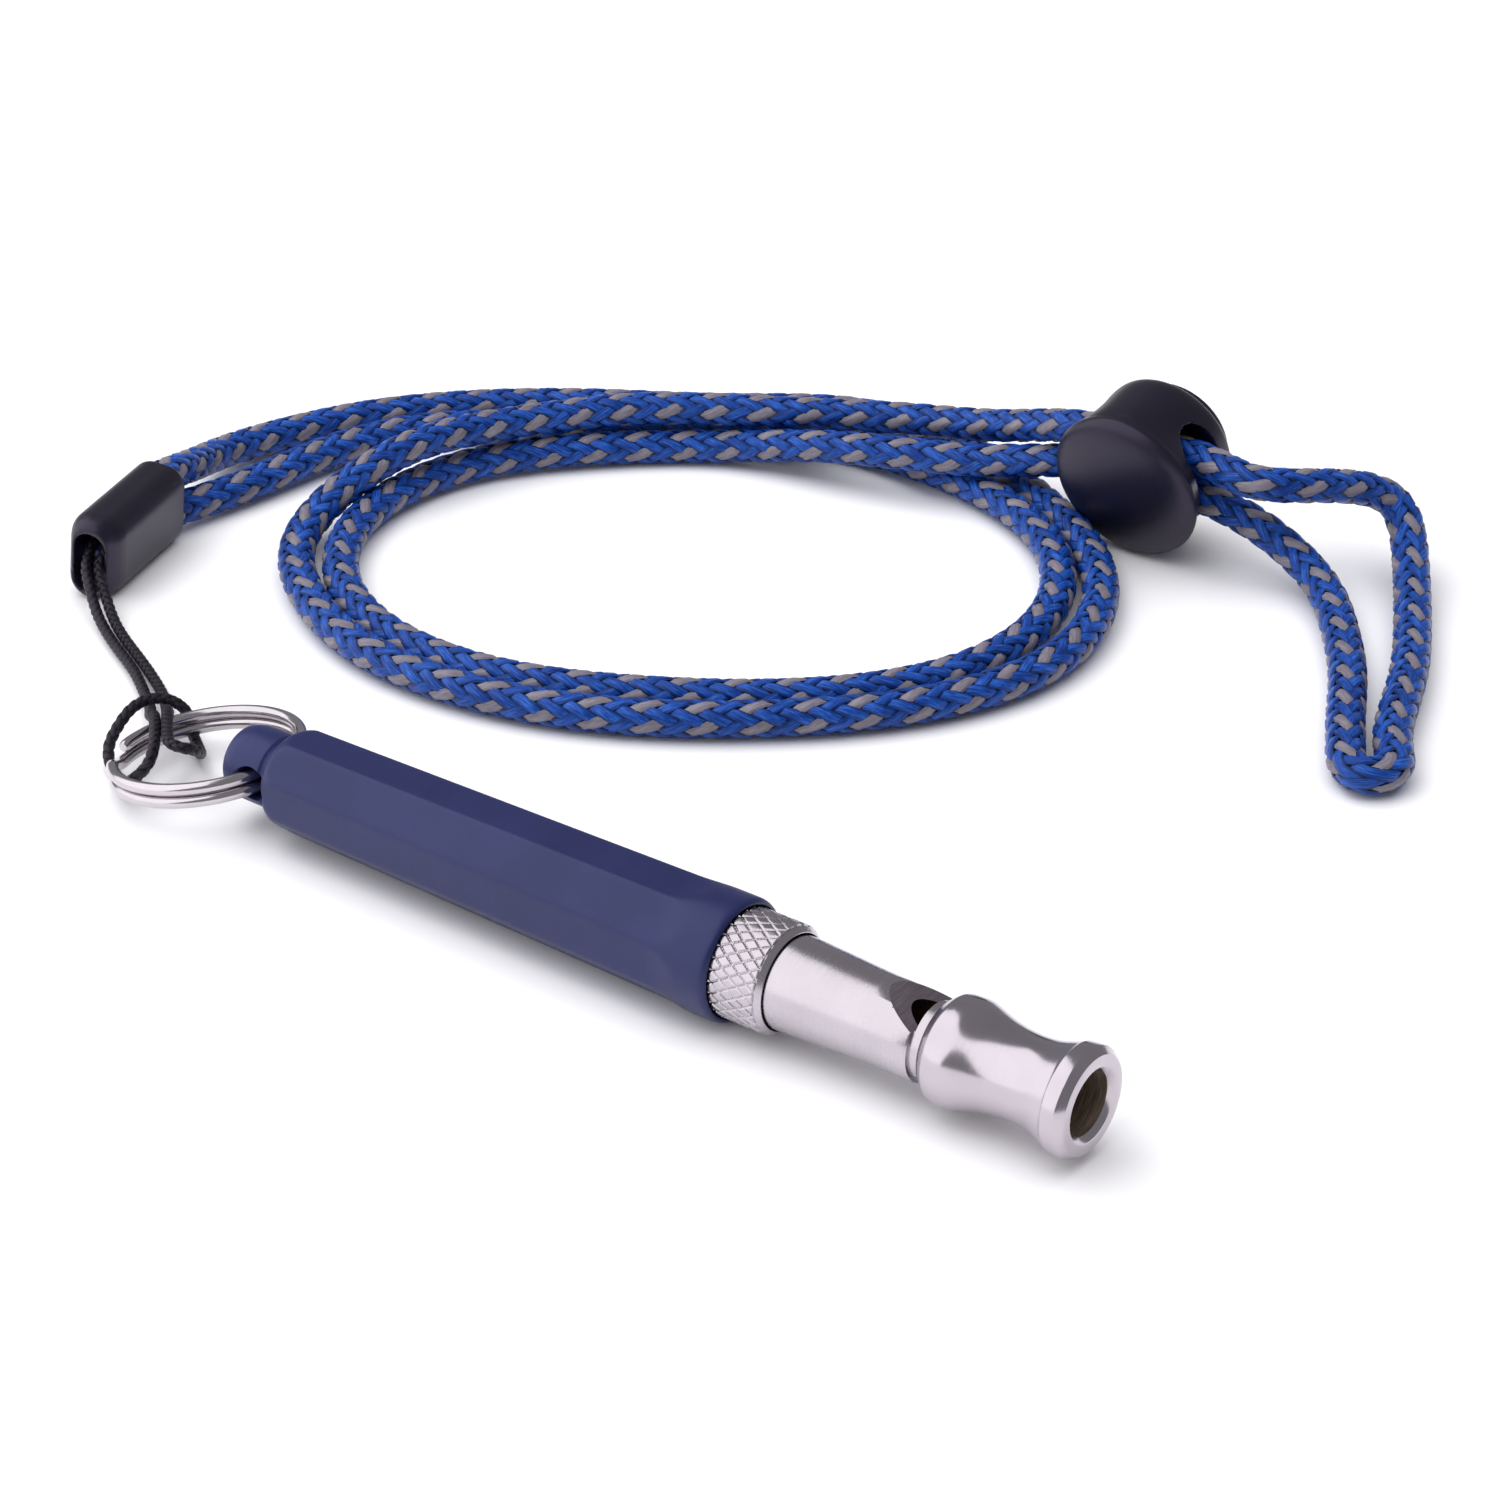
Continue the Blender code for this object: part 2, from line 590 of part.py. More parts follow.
def add_lock_body(slot):
    """The domed body with its waist, cavity and the slot that both cords pass through."""
    stations = (
        (-1.0, 2.2, 2.2), (-0.85, 4.3, 4.3), (-0.5, 5.9, 5.9), (0.05, 7.0, 7.0), (0.65, 7.42, 7.42),
        (1.2, 7.5, 7.5), (1.8, 7.0, 7.48), (2.6, 6.2, 7.45), (4.2, 5.8, 7.4), (5.8, 5.9, 7.35),
        (7.0, 6.35, 7.25), (7.8, 6.5, 6.85), (8.35, 6.35, 6.45), (8.6, 6.05, 6.1),
    )
    obj = new_object("cord_lock_body", loft(lock_rings(stations, 40)), slot)
    obj.matrix_world = lock_frame()
    radius = LOCK_CAVITY_R / MM
    mouth = LOCK_MOUTH_R / MM
    cavity = lock_rings(
        ((-0.2, radius, radius), (6.9, radius, radius), (7.0, mouth, mouth), (9.5, mouth, mouth)), 32
    )
    cutters = [new_object("lock_cavity", loft(cavity)), slot_cutter("body_slot", 2.2, 6.5, 5.4, 2.15)]
    for cutter in cutters:
        cutter.matrix_world = lock_frame()
        boolean(obj, cutter)
    return obj


def add_lock_button(slot):
    """The sprung button: a slotted stem in the cavity and a domed head in the mouth."""
    stem = LOCK_STEM_R / MM
    head = LOCK_HEAD_R / MM
    stations = (
        (1.7, stem - 0.2, stem - 0.2), (1.9, stem, stem), (8.3, stem, stem), (8.35, head, head),
        (9.6, head, head), (9.95, head - 0.25, head - 0.25), (10.2, head - 0.9, head - 0.9), (10.4, 2.9, 2.9),
        (10.45, 1.2, 1.2),
    )
    obj = new_object("cord_lock_button", loft(lock_rings(stations, 32)), slot)
    obj.matrix_world = lock_frame()
    cutter = slot_cutter("button_slot", 2.5, 7.7, 3.8, 1.6)
    cutter.matrix_world = lock_frame()
    boolean(obj, cutter)
    return obj


def add_lock_spring(slot):
    """The small coil under the button's stem."""
    points = []
    ups = []
    steps = 56
    for step in range(steps + 1):
        share = step / steps
        turn = 2 * math.pi * 2.5 * share
        points.append(Vector((2.6 * math.cos(turn), 2.6 * math.sin(turn), 0.1 + 1.25 * share)) * MM)
        ups.append(Vector((0.0, 0.0, 1.0)))
    obj = new_object("cord_lock_spring", wire(points, ups, 0.19 * MM, 6), slot)
    obj.matrix_world = lock_frame()
    return obj


# ---------------------------------------------------------------------------------------------


def main():
    for obj in list(bpy.data.objects):
        bpy.data.objects.remove(obj)
    slots = make_materials()
    swinging = [add_barrel(slots["navy_anodised"])]
    swinging.extend(add_plunger(slots["nickel"], slots["seal_rubber"]))
    swinging.append(add_split_ring(slots["spring_steel"]))
    for obj in swinging:
        move_origin(obj, Vector((HOLE_X, 0.0, AXIS_Z)))
    turning = [add_tube(slots["nickel"]), add_plug(slots["nickel"])]
    turning.append(add_mouthpiece(slots["nickel"]))
    turning.append(add_lock_nut(slots["nickel"]))
    for obj in turning:
        move_origin(obj, Vector((0.0, 0.0, AXIS_Z)))
    add_tether(slots["black_braid"])
    add_cord_end(slots["black_plastic"])
    add_lanyard(slots["blue_braid"])
    add_lock_body(slots["black_plastic"])
    add_lock_button(slots["black_plastic"])
    add_lock_spring(slots["spring_steel"])


main()
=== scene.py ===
"""The looks of an adjustable training whistle on a split ring, with a neck lanyard and a cord lock.

Lengths here are in metres, and MM turns a value in millimetres into metres. +X runs along the whistle to
its mouthpiece, and the floor is z = 0. On the whistle, a station is the distance behind the mouthpiece's
front face, in millimetres.
"""

import json
import math

import bmesh
import bpy
import numpy as np
from mathutils import Matrix, Vector


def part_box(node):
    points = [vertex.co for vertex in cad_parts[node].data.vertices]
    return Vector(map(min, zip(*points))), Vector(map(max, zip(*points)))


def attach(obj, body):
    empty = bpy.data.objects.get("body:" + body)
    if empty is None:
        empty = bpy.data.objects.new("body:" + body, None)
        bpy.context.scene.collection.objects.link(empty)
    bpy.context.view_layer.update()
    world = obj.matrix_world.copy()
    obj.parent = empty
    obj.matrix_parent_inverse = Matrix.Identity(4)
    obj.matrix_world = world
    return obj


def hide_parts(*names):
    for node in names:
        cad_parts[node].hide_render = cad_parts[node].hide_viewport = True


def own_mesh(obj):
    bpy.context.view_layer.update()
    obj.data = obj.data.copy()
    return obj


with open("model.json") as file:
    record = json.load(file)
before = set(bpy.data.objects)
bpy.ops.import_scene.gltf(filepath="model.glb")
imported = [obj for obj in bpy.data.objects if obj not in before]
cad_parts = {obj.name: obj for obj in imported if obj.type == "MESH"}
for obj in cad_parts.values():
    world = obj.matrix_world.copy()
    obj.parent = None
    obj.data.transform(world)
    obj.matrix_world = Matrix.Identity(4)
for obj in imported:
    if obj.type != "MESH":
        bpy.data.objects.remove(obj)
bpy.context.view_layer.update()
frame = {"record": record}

MM = 0.001
JOINTS = {joint["name"]: joint for joint in frame["record"]["behaviour"]["joints"]}
HOLE = Vector(JOINTS["whistle_swing"]["pos_m"])
FRONT_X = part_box("mouthpiece")[1][0]
SCENE = bpy.context.scene

# The whistle's frame: Z is the station, backwards from the front face, and Y is down.
WHISTLE = Matrix(((0, 0, -1, FRONT_X), (1, 0, 0, 0), (0, -1, 0, HOLE.z), (0, 0, 0, 1)))

# The cord lock's axes: the way the button comes out, and up.
LOCK_OUT = -Vector(JOINTS["button_press"]["axis"])
LOCK_UP = Vector((0.0, -LOCK_OUT.z, LOCK_OUT.y))
LOCK_CENTRE = Vector((-2.8, 82.25, 7.3)) * MM

# The photograph's camera: it looks at the target from this far, at these angles round it and above the floor.
LENS_MM = 91.2
SENSOR_MM = 36.0
CAMERA_AZIMUTH = math.radians(37.37)
CAMERA_ELEVATION = math.radians(29.255)
CAMERA_DISTANCE = 0.3204
CAMERA_TARGET = Vector((-8.2, 32.93, 0.0)) * MM

# Sizes in millimetres, with points and angles in metres and radians.
CORD_HALF_WIDTH = 1.76
CORD_HALF_HEIGHT = 1.62
CORD_STRANDS = 8  # in each direction
CORD_PITCH = 18.2
TETHER_RADIUS = 0.52
TETHER_STRANDS = 4
TETHER_PITCH = 3.4
CROSSING_LIFT = 0.46  # how far a strand rises over the others, as a share of its thickness
CROSSING_SOFTNESS = 0.12
RING_R = 7.8
RING_WIRE_R = 0.525
RING_PITCH = 1.10
RING_CENTRE = Vector((-39.05, 0.0, 3.65)) * MM
RING_TILT = math.radians(9.2)
FLAT_FRONT = 4.60
FLAT_REAR = 4.07
FLATS_FRONT = 36.4  # station
FLATS_REAR = 75.2  # station
SCALLOP_START = 36.8  # station
SCALLOP_RADIUS = 13.0
CORNER_SHARE = 1.072
COLLAR_R = 4.95
NUT_R = 4.37
KNURL_STARTS = 28
KNURL_LEAD = 1.57
KNURL_GROOVE = 0.14  # half a groove's width, as a share of the lead
KNURL_DEPTH = 0.12
THREAD_R = 3.42
THREAD_LEAD = 0.75
THREAD_DEPTH = 0.32
BORE_LIMIT = 2.68  # faces nearer to the axis than this are the tube's bore
LEDGE_HEIGHT = 1.94  # the window's ledge at its front, above the axis
LEDGE_STATION = 13.6
LEDGE_SLOPE = 0.4
END_REAR = Vector((-76.6, 31.98, 3.97)) * MM
END_HEADING = Vector((0.30, -0.954, 0.0)).normalized()
END_ROLL = math.radians(7.0)
END_WIDTH = 5.2
END_HEIGHT = 7.8

# The lanyard's route, in millimetres: out of the cord end, round the loop, through the cord lock,
# out to the free loop and back through the lock, round the loop again and into the cord end.
LANYARD_ROUTE = [
    (-75.87, 29.07, 5.83), (-76.47, 30.97, 5.83), (-77.07, 32.88, 5.79), (-79.4, 38.9, 4.1),
    (-82.2, 47.0, 2.0), (-78.6, 58.7, 1.8), (-71.0, 69.0, 1.8),
    (-61.2, 77.0, 1.8), (-50.4, 83.9, 1.8), (-39.6, 90.9, 1.8), (-27.3, 91.1, 1.8), (-15.2, 86.2, 1.8),
    (-4.6, 79.4, 1.8), (3.1, 69.0, 1.8), (4.9, 56.6, 1.8), (0.0, 44.8, 1.8), (-8.5, 35.6, 1.8),
    (-19.3, 28.1, 1.8), (-31.2, 24.1, 1.8), (-43.9, 24.2, 1.8), (-55.6, 29.2, 1.8), (-64.1, 38.4, 2.3),
    (-63.7, 50.7, 5.4), (-60.1, 62.9, 5.1), (-52.5, 73.0, 5.1), (-41.9, 80.2, 5.1), (-30.5, 86.4, 5.3),
    (-20.0, 87.6, 7.0), (-9.8, 86.3, 10.1), (-2.8, 86.2, 10.4), (3.4, 86.1, 10.5), (9.0, 85.2, 10.3),
    (13.7, 90.4, 9.3), (17.4, 96.6, 6.3), (21.8, 92.2, 3.2), (26.8, 83.6, 1.9), (31.1, 74.9, 1.8),
    (34.6, 66.1, 1.8), (36.6, 62.6, 1.8), (37.8, 59.7, 1.8), (36.7, 57.8, 1.8), (34.6, 58.5, 1.8),
    (32.8, 61.2, 1.8), (30.9, 64.5, 1.8), (26.8, 72.1, 1.8), (22.0, 79.2, 1.8), (16.0, 85.6, 2.4),
    (9.2, 87.4, 4.7), (2.7, 87.3, 6.2), (-2.8, 87.1, 6.7), (-8.8, 86.9, 6.6), (-19.5, 83.9, 4.9),
    (-32.3, 79.8, 4.1), (-44.2, 77.0, 2.0), (-54.9, 68.5, 1.8), (-62.0, 57.8, 1.8), (-62.4, 45.0, 1.8),
    (-55.8, 34.0, 1.8), (-44.4, 27.8, 1.8), (-31.5, 27.7, 1.8), (-19.5, 32.7, 1.8), (-8.8, 40.3, 1.8),
    (-1.0, 50.8, 1.8), (0.4, 63.4, 1.8), (-5.3, 75.2, 1.8), (-15.7, 82.5, 1.8), (-28.9, 85.0, 1.8),
    (-41.5, 82.9, 1.8), (-52.6, 75.9, 1.8), (-63.5, 68.8, 1.8), (-72.5, 59.4, 1.8), (-75.1, 46.7, 1.9),
    (-76.1, 39.3, 1.8), (-76.73, 33.0, 2.1), (-76.13, 31.09, 2.12), (-75.53, 29.18, 2.12),
]

# The tether's route: out of the cord end, over the ring, under it, round as a lark's head, and back.
TETHER_ROUTE = [
    (-74.21, 21.72, 5.2), (-73.5, 20.1, 4.4), (-72.6, 18.6, 3.4), (-70.7, 17.1, 2.3), (-68.6, 15.7, 1.4),
    (-65.8, 14.1, 0.9), (-61.9, 12.1, 0.8), (-58.2, 10.2, 0.8), (-53.7, 7.2, 1.0), (-51.4, 5.4, 1.5),
    (-49.7, 3.8, 2.2), (-48.0, 2.5, 3.4), (-46.4, 1.2, 4.2), (-44.3, -0.8, 4.5), (-42.6, -2.7, 4.3),
    (-41.9, -4.2, 3.6), (-43.0, -5.0, 2.2), (-44.8, -4.6, 1.1), (-46.6, -3.4, 0.7), (-48.6, -2.2, 0.9),
    (-49.6, -1.1, 1.7), (-49.7, 0.1, 2.8), (-49.8, 1.4, 3.5), (-49.8, 2.8, 3.8), (-49.4, 4.1, 3.8),
    (-48.6, 5.1, 3.5), (-47.7, 5.7, 2.8), (-47.1, 5.9, 1.8), (-46.5, 5.5, 0.9), (-45.4, 4.7, 0.75),
    (-44.0, 3.7, 0.9), (-42.4, 2.3, 1.7), (-40.9, 0.9, 2.9), (-39.9, -0.4, 4.0), (-39.9, -1.7, 4.8),
    (-41.0, -2.1, 5.0), (-42.7, -0.9, 4.8), (-44.6, 0.9, 4.6), (-46.3, 2.6, 4.2), (-47.6, 3.8, 3.4),
    (-48.9, 5.1, 2.2), (-50.7, 6.6, 1.5), (-53.0, 8.5, 1.0), (-58.1, 11.5, 0.8), (-61.6, 13.25, 0.8),
    (-65.3, 15.15, 0.9), (-68.0, 16.75, 1.5), (-70.1, 18.1, 2.4), (-71.7, 19.3, 3.4), (-72.3, 20.7, 4.4),
    (-72.97, 22.11, 5.2),
]


# ---------------------------------------------------------------------------------------------
# Camera, floor and light


def aim(obj, target):
    """Turns the object's -Z axis to the target."""
    obj.rotation_euler = (Vector(target) - obj.location).to_track_quat("-Z", "Y").to_euler()


def add_camera():
    """The camera, where the photograph was taken from."""
    camera = bpy.data.objects.new("camera", bpy.data.cameras.new("camera"))
    SCENE.collection.objects.link(camera)
    SCENE.camera = camera
    camera.data.lens = LENS_MM
    camera.data.sensor_width = SENSOR_MM
    camera.data.clip_start = 0.01
    level = math.cos(CAMERA_ELEVATION)
    away = Vector((
        math.sin(CAMERA_AZIMUTH) * level, -math.cos(CAMERA_AZIMUTH) * level, math.sin(CAMERA_ELEVATION)
    ))
    camera.location = CAMERA_TARGET + CAMERA_DISTANCE * away
    aim(camera, CAMERA_TARGET)


def add_area_light(name, location, target, size, radiance, colour, in_reflections):
    """A rectangular soft light of this radiance, seen in reflections or not."""
    light = bpy.data.lights.new(name, "AREA")
    light.shape = "RECTANGLE"
    light.size = size[0]
    light.size_y = size[1]
    light.energy = radiance * math.pi * size[0] * size[1]
    light.color = colour
    obj = bpy.data.objects.new(name, light)
    SCENE.collection.objects.link(obj)
    obj.location = location
    obj.visible_glossy = in_reflections
    aim(obj, target)


def add_stage():
    """A plain white floor under a top light, with a big soft box at the camera's left."""
    mesh = bpy.data.meshes.new("floor")
    far = 2.5
    low = -0.00003  # just under the cords, so that no faces lie in one plane
    corners = [(-far, -far, low), (far, -far, low), (far, far, low), (-far, far, low)]
    mesh.from_pydata(corners, [], [(0, 1, 2, 3)])
    floor = bpy.data.objects.new("floor", mesh)
    SCENE.collection.objects.link(floor)
    mesh.materials.append(principled("floor_white", (0.9, 0.9, 0.91), 0.9)[0])
    world = bpy.data.worlds.new("studio")
    SCENE.world = world
    world.use_nodes = True
    background = world.node_tree.nodes["Background"]
    background.inputs["Color"].default_value = (0.96, 0.95, 1.0, 1.0)
    background.inputs["Strength"].default_value = 0.28
    centre = (-0.02, 0.04, 0.0)
    white = (1.0, 0.99, 1.0)
    add_area_light(
        "top_light", (-0.05, 0.1, 0.75), centre, size=(1.2, 1.2), radiance=1.6, colour=white,
        in_reflections=False,
    )
    add_area_light(
        "left_box", (-0.36, -0.34, 0.42), (0.02, 0.0, 0.0), size=(1.3, 1.15), radiance=1.35, colour=white,
        in_reflections=True,
    )
    SCENE.view_settings.view_transform = "Standard"


# ---------------------------------------------------------------------------------------------
# Materials


def principled(name, colour, roughness, metallic=0.0):
    """A material with one Principled shader: (material, its tree, its shader)."""
    made = bpy.data.materials.new(name)
    made.use_nodes = True
    shader = made.node_tree.nodes["Principled BSDF"]
    shader.inputs["Base Color"].default_value = (*colour, 1.0)
    shader.inputs["Roughness"].default_value = roughness
    shader.inputs["Metallic"].default_value = metallic
    return made, made.node_tree, shader


def node(tree, kind, settings=(), **inputs):
    """A shader node with its settings, and its inputs set to values or linked to other nodes' outputs.

    An input is given by its name, or by an underscore and its number.
    """
    made = tree.nodes.new("ShaderNode" + kind)
    for key, value in dict(settings).items():
        setattr(made, key, value)
    for key, value in inputs.items():
        socket = made.inputs[int(key[1:])] if key[0] == "_" else made.inputs[key]
        if isinstance(value, bpy.types.NodeSocket):
            tree.links.new(value, socket)
        else:
            socket.default_value = value
    return made


def arithmetic(tree, operation, *values):
    """A Math node's result, from values or other nodes' outputs."""
    inputs = {f"_{index}": value for index, value in enumerate(values)}
    return node(tree, "Math", {"operation": operation}, **inputs).outputs["Value"]


def object_mm(tree, stretch=(1.0, 1.0, 1.0)):
    """Object coordinates in millimetres, each axis times its stretch."""
    where = node(tree, "TexCoord")
    scale = [1000.0 * share for share in stretch]
    return node(tree, "Mapping", Vector=where.outputs["Object"], Scale=scale).outputs["Vector"]


def fibre_mm(tree, stretch):
    """The strands' own coordinates: millimetres along the yarn, and the share across it."""
    where = node(tree, "UVMap", {"uv_map": "fibre"})
    return node(tree, "Mapping", Vector=where.outputs["UV"], Scale=(*stretch, 1.0)).outputs["Vector"]


def noise(tree, vector, scale, detail=2.0, roughness=0.5):
    """Noise from 0 to 1, at this many features to the unit."""
    made = node(tree, "TexNoise", Vector=vector, Scale=scale, Detail=detail, Roughness=roughness)
    return made.outputs["Fac"]


def ramp(tree, fac, stops):
    """A colour ramp of (position, colour) stops."""
    made = node(tree, "ValToRGB", Fac=fac)
    elements = made.color_ramp.elements
    while len(elements) < len(stops):
        elements.new(0.5)
    for element, (position, colour) in zip(elements, stops):
        element.position = position
        element.color = (*colour, 1.0)
    return made.outputs["Color"]


def between(tree, fac, low, high, start=0.0, end=1.0):
    """A number that goes from low to high as fac goes from start to end."""
    return node(tree, "MapRange", Value=fac, _1=start, _2=end, _3=low, _4=high).outputs["Result"]


def bump(tree, shader, height, distance_mm, strength=1.0):
    """Bumps the shader's surface by the height, at most this far."""
    made = node(tree, "Bump", Height=height, Distance=distance_mm * MM, Strength=strength)
    tree.links.new(made.outputs["Normal"], shader.inputs["Normal"])


def navy_material():
    """Satin navy coating with a faint orange peel and slightly uneven depth."""
    made, tree, shader = principled("navy_coat", (0.02, 0.03, 0.12), 0.4)
    place = object_mm(tree)
    broad = noise(tree, place, 0.16, 3.0)
    fine = noise(tree, place, 2.6, 3.0)
    colour = ramp(tree, broad, [(0.3, (0.009, 0.013, 0.066)), (0.7, (0.013, 0.018, 0.084))])
    tree.links.new(colour, shader.inputs["Base Color"])
    tree.links.new(between(tree, fine, 0.34, 0.46), shader.inputs["Roughness"])
    shader.inputs["Specular Tint"].default_value = (0.72, 0.74, 1.0, 1.0)
    bump(tree, shader, fine, 0.012, 0.6)
    return made


def nickel_material(name, colour, roughness, turning, grain):
    """Nickel plate with turning marks round the whistle's axis and a slightly uneven polish."""
    made, tree, shader = principled(name, colour, roughness, 1.0)
    rings = noise(tree, object_mm(tree, (1.0, 0.02, 0.02)), 9.0, 3.0, 0.6)
    speckle = noise(tree, object_mm(tree), 7.0, 4.0, 0.6)
    broad = noise(tree, object_mm(tree), 0.3, 2.0)
    dark = tuple(0.93 * share for share in colour)
    tree.links.new(ramp(tree, broad, [(0.3, dark), (0.7, colour)]), shader.inputs["Base Color"])
    mixed = arithmetic(tree, "ADD", rings, speckle)
    polish = between(tree, mixed, roughness * 0.7, roughness * 1.35, 0.6, 1.4)
    tree.links.new(polish, shader.inputs["Roughness"])
    height = arithmetic(tree, "MULTIPLY_ADD", rings, turning, speckle)
    bump(tree, shader, height, grain, 0.5)
    return made


def bore_material(name, dark, middle, light):
    """A machined face that the polish never reached, with its cutter's rings; in dark grey tones, as on the
    window's ledge, it is painted shade.
    """
    made, tree, shader = principled(name, middle, 0.35, 0.7)
    rings = noise(tree, object_mm(tree, (1.0, 0.05, 0.05)), 8.0, 4.0, 0.7)
    colour = ramp(tree, rings, [(0.3, dark), (0.5, middle), (0.72, light)])
    tree.links.new(colour, shader.inputs["Base Color"])
    tree.links.new(between(tree, rings, 0.25, 0.55), shader.inputs["Roughness"])
    bump(tree, shader, rings, 0.02, 0.6)
    return made


def yarn_material(name, tones, roughness, tint, fibres=9.0, depth=0.06, edge=0.85):
    """Filament yarn: fine streaks along each strand, and painted shade on its edges where they go under the
    next.

    fibres is how fine the streaks are, depth is their bump in millimetres, and edge is how dark the painted
    edge shade goes.
    """
    dark, middle, light = tones
    made, tree, shader = principled(name, middle, roughness)
    shader.inputs["Specular Tint"].default_value = (*tint, 1.0)
    streaks = noise(tree, fibre_mm(tree, (0.9, fibres)), 1.0, 4.0, 0.65)
    blotches = noise(tree, fibre_mm(tree, (0.35, 0.6)), 1.0, 2.0)
    mixed = arithmetic(tree, "MULTIPLY_ADD", blotches, 0.35, streaks)
    colour = ramp(tree, mixed, [(0.45, dark), (0.66, middle), (0.9, light)])
    # Painted shade: each strand's base colour darkens towards its edges, standing in for the shade in the
    # gaps between strands.
    across = node(tree, "SeparateXYZ", Vector=fibre_mm(tree, (1.0, 1.0))).outputs["Y"]
    off = arithmetic(tree, "SUBTRACT", arithmetic(tree, "FRACT", across), 0.5)
    shade = between(tree, arithmetic(tree, "ABSOLUTE", off), 1.0, 1.0 - edge, 0.24, 0.5)
    scaled = node(tree, "VectorMath", {"operation": "SCALE"}, _0=colour, Scale=shade).outputs["Vector"]
    tree.links.new(scaled, shader.inputs["Base Color"])
    tree.links.new(between(tree, streaks, roughness - 0.1, roughness + 0.15), shader.inputs["Roughness"])
    bump(tree, shader, streaks, depth, 1.0)
    return made


def plastic_material():
    """Black moulded plastic with a satin, very fine grain."""
    made, tree, shader = principled("black_moulding", (0.007, 0.006, 0.011), 0.36)
    place = object_mm(tree)
    fine = noise(tree, place, 5.0, 4.0, 0.65)
    broad = noise(tree, place, 0.25, 2.0)
    colour = ramp(tree, broad, [(0.3, (0.002, 0.003, 0.007)), (0.7, (0.004, 0.004, 0.01))])
    tree.links.new(colour, shader.inputs["Base Color"])
    shader.inputs["Specular IOR Level"].default_value = 0.6
    shader.inputs["Specular Tint"].default_value = (0.82, 0.7, 1.0, 1.0)
    tree.links.new(between(tree, fine, 0.3, 0.44), shader.inputs["Roughness"])
    bump(tree, shader, fine, 0.015, 0.5)
    return made


def rubber_material():
    """Matt black seal rubber."""
    made, tree, shader = principled("seal_rubber", (0.02, 0.02, 0.022), 0.6)
    fine = noise(tree, object_mm(tree), 6.0, 3.0)
    colour = ramp(tree, fine, [(0.3, (0.014, 0.014, 0.015)), (0.7, (0.03, 0.03, 0.032))])
    tree.links.new(colour, shader.inputs["Base Color"])
    bump(tree, shader, fine, 0.02, 0.6)
    return made


def melted_material():
    """Heat-sealed cord ends: blue with whitened crests."""
    made, tree, shader = principled("melted_cord", (0.05, 0.1, 0.4), 0.3)
    spots = noise(tree, object_mm(tree), 1.4, 3.0)
    stops = [(0.4, (0.02, 0.05, 0.3)), (0.52, (0.12, 0.2, 0.55)), (0.62, (0.6, 0.65, 0.85))]
    colour = ramp(tree, spots, stops)
    tree.links.new(colour, shader.inputs["Base Color"])
    bump(tree, shader, spots, 0.1, 0.7)
    return made


# ---------------------------------------------------------------------------------------------
# Mesh helpers


def natural_curve(points, per_span):
    """Points on the natural cubic spline through these; its knots are as far apart as its chords' roots."""
    points = np.array(points, float)
    knots = np.concatenate([[0.0], np.cumsum(np.sqrt(np.linalg.norm(np.diff(points, axis=0), axis=1)))])
    spans = np.diff(knots)
    count = len(points)
    system = np.eye(count)
    right = np.zeros_like(points)
    for index in range(1, count - 1):
        before, after = spans[index - 1], spans[index]
        system[index, index - 1:index + 2] = before, 2 * (before + after), after
        rise = (points[index + 1] - points[index]) / after - (points[index] - points[index - 1]) / before
        right[index] = 6 * rise
    bends = np.linalg.solve(system, right)
    far = (np.arange(per_span) / per_span)[:, None]
    near = 1 - far
    pieces = []
    for index, span in enumerate(spans):
        piece = near * points[index] + far * points[index + 1]
        piece += ((near**3 - near) * bends[index] + (far**3 - far) * bends[index + 1]) * span**2 / 6
        pieces.append(piece)
    return np.concatenate([*pieces, points[-1:]])


def evenly(points, spacing):
    """The polyline's points, about spacing apart and all the same distance from the next."""
    along = np.concatenate([[0.0], np.cumsum(np.linalg.norm(np.diff(points, axis=0), axis=1))])
    wanted = np.linspace(0.0, along[-1], int(round(along[-1] / spacing)) + 1)
    return np.stack([np.interp(wanted, along, points[:, axis]) for axis in range(points.shape[1])], axis=1)


def unit(vectors):
    """The vectors at length 1."""
    return vectors / np.linalg.norm(vectors, axis=-1, keepdims=True)


def new_piece(name, points, faces, materials, smooth_angle=35.0):
    """A mesh object from points in metres, smooth except at edges sharper than the angle."""
    mesh = bpy.data.meshes.new(name)
    mesh.from_pydata([tuple(point) for point in points], [], faces)
    bm = bmesh.new()
    bm.from_mesh(mesh)
    bmesh.ops.recalc_face_normals(bm, faces=bm.faces)
    bm.to_mesh(mesh)
    bm.free()
    for made in materials:
        mesh.materials.append(made)
    finish_shading(mesh, smooth_angle)
    obj = bpy.data.objects.new(name, mesh)
    SCENE.collection.objects.link(obj)
    return obj


def finish_shading(mesh, smooth_angle):
    """Smooth shading, except at edges sharper than the angle in degrees."""
    mesh.shade_smooth()
    mesh.set_sharp_from_angle(angle=math.radians(smooth_angle))


def grid_faces(count, sides, first=0, closed_loop=False):
    """Faces of a tube of count rings of this many sides, capped unless the rings close in a loop."""
    faces = []
    spans = count if closed_loop else count - 1
    for ring in range(spans):
        here = first + ring * sides
        there = first + (ring + 1) % count * sides
        for side in range(sides):
            after = (side + 1) % sides
            faces.append((here + side, here + after, there + after, there + side))
    if not closed_loop:
        faces.append(tuple(first + side for side in range(sides)))
        faces.append(tuple(first + (count - 1) * sides + side for side in range(sides)))
    return faces


def placed(points_mm, place):
    """Points in a frame, in millimetres, as world points in metres."""
    matrix = np.array(place)
    return (np.asarray(points_mm) * MM) @ matrix[:3, :3].T + matrix[:3, 3]


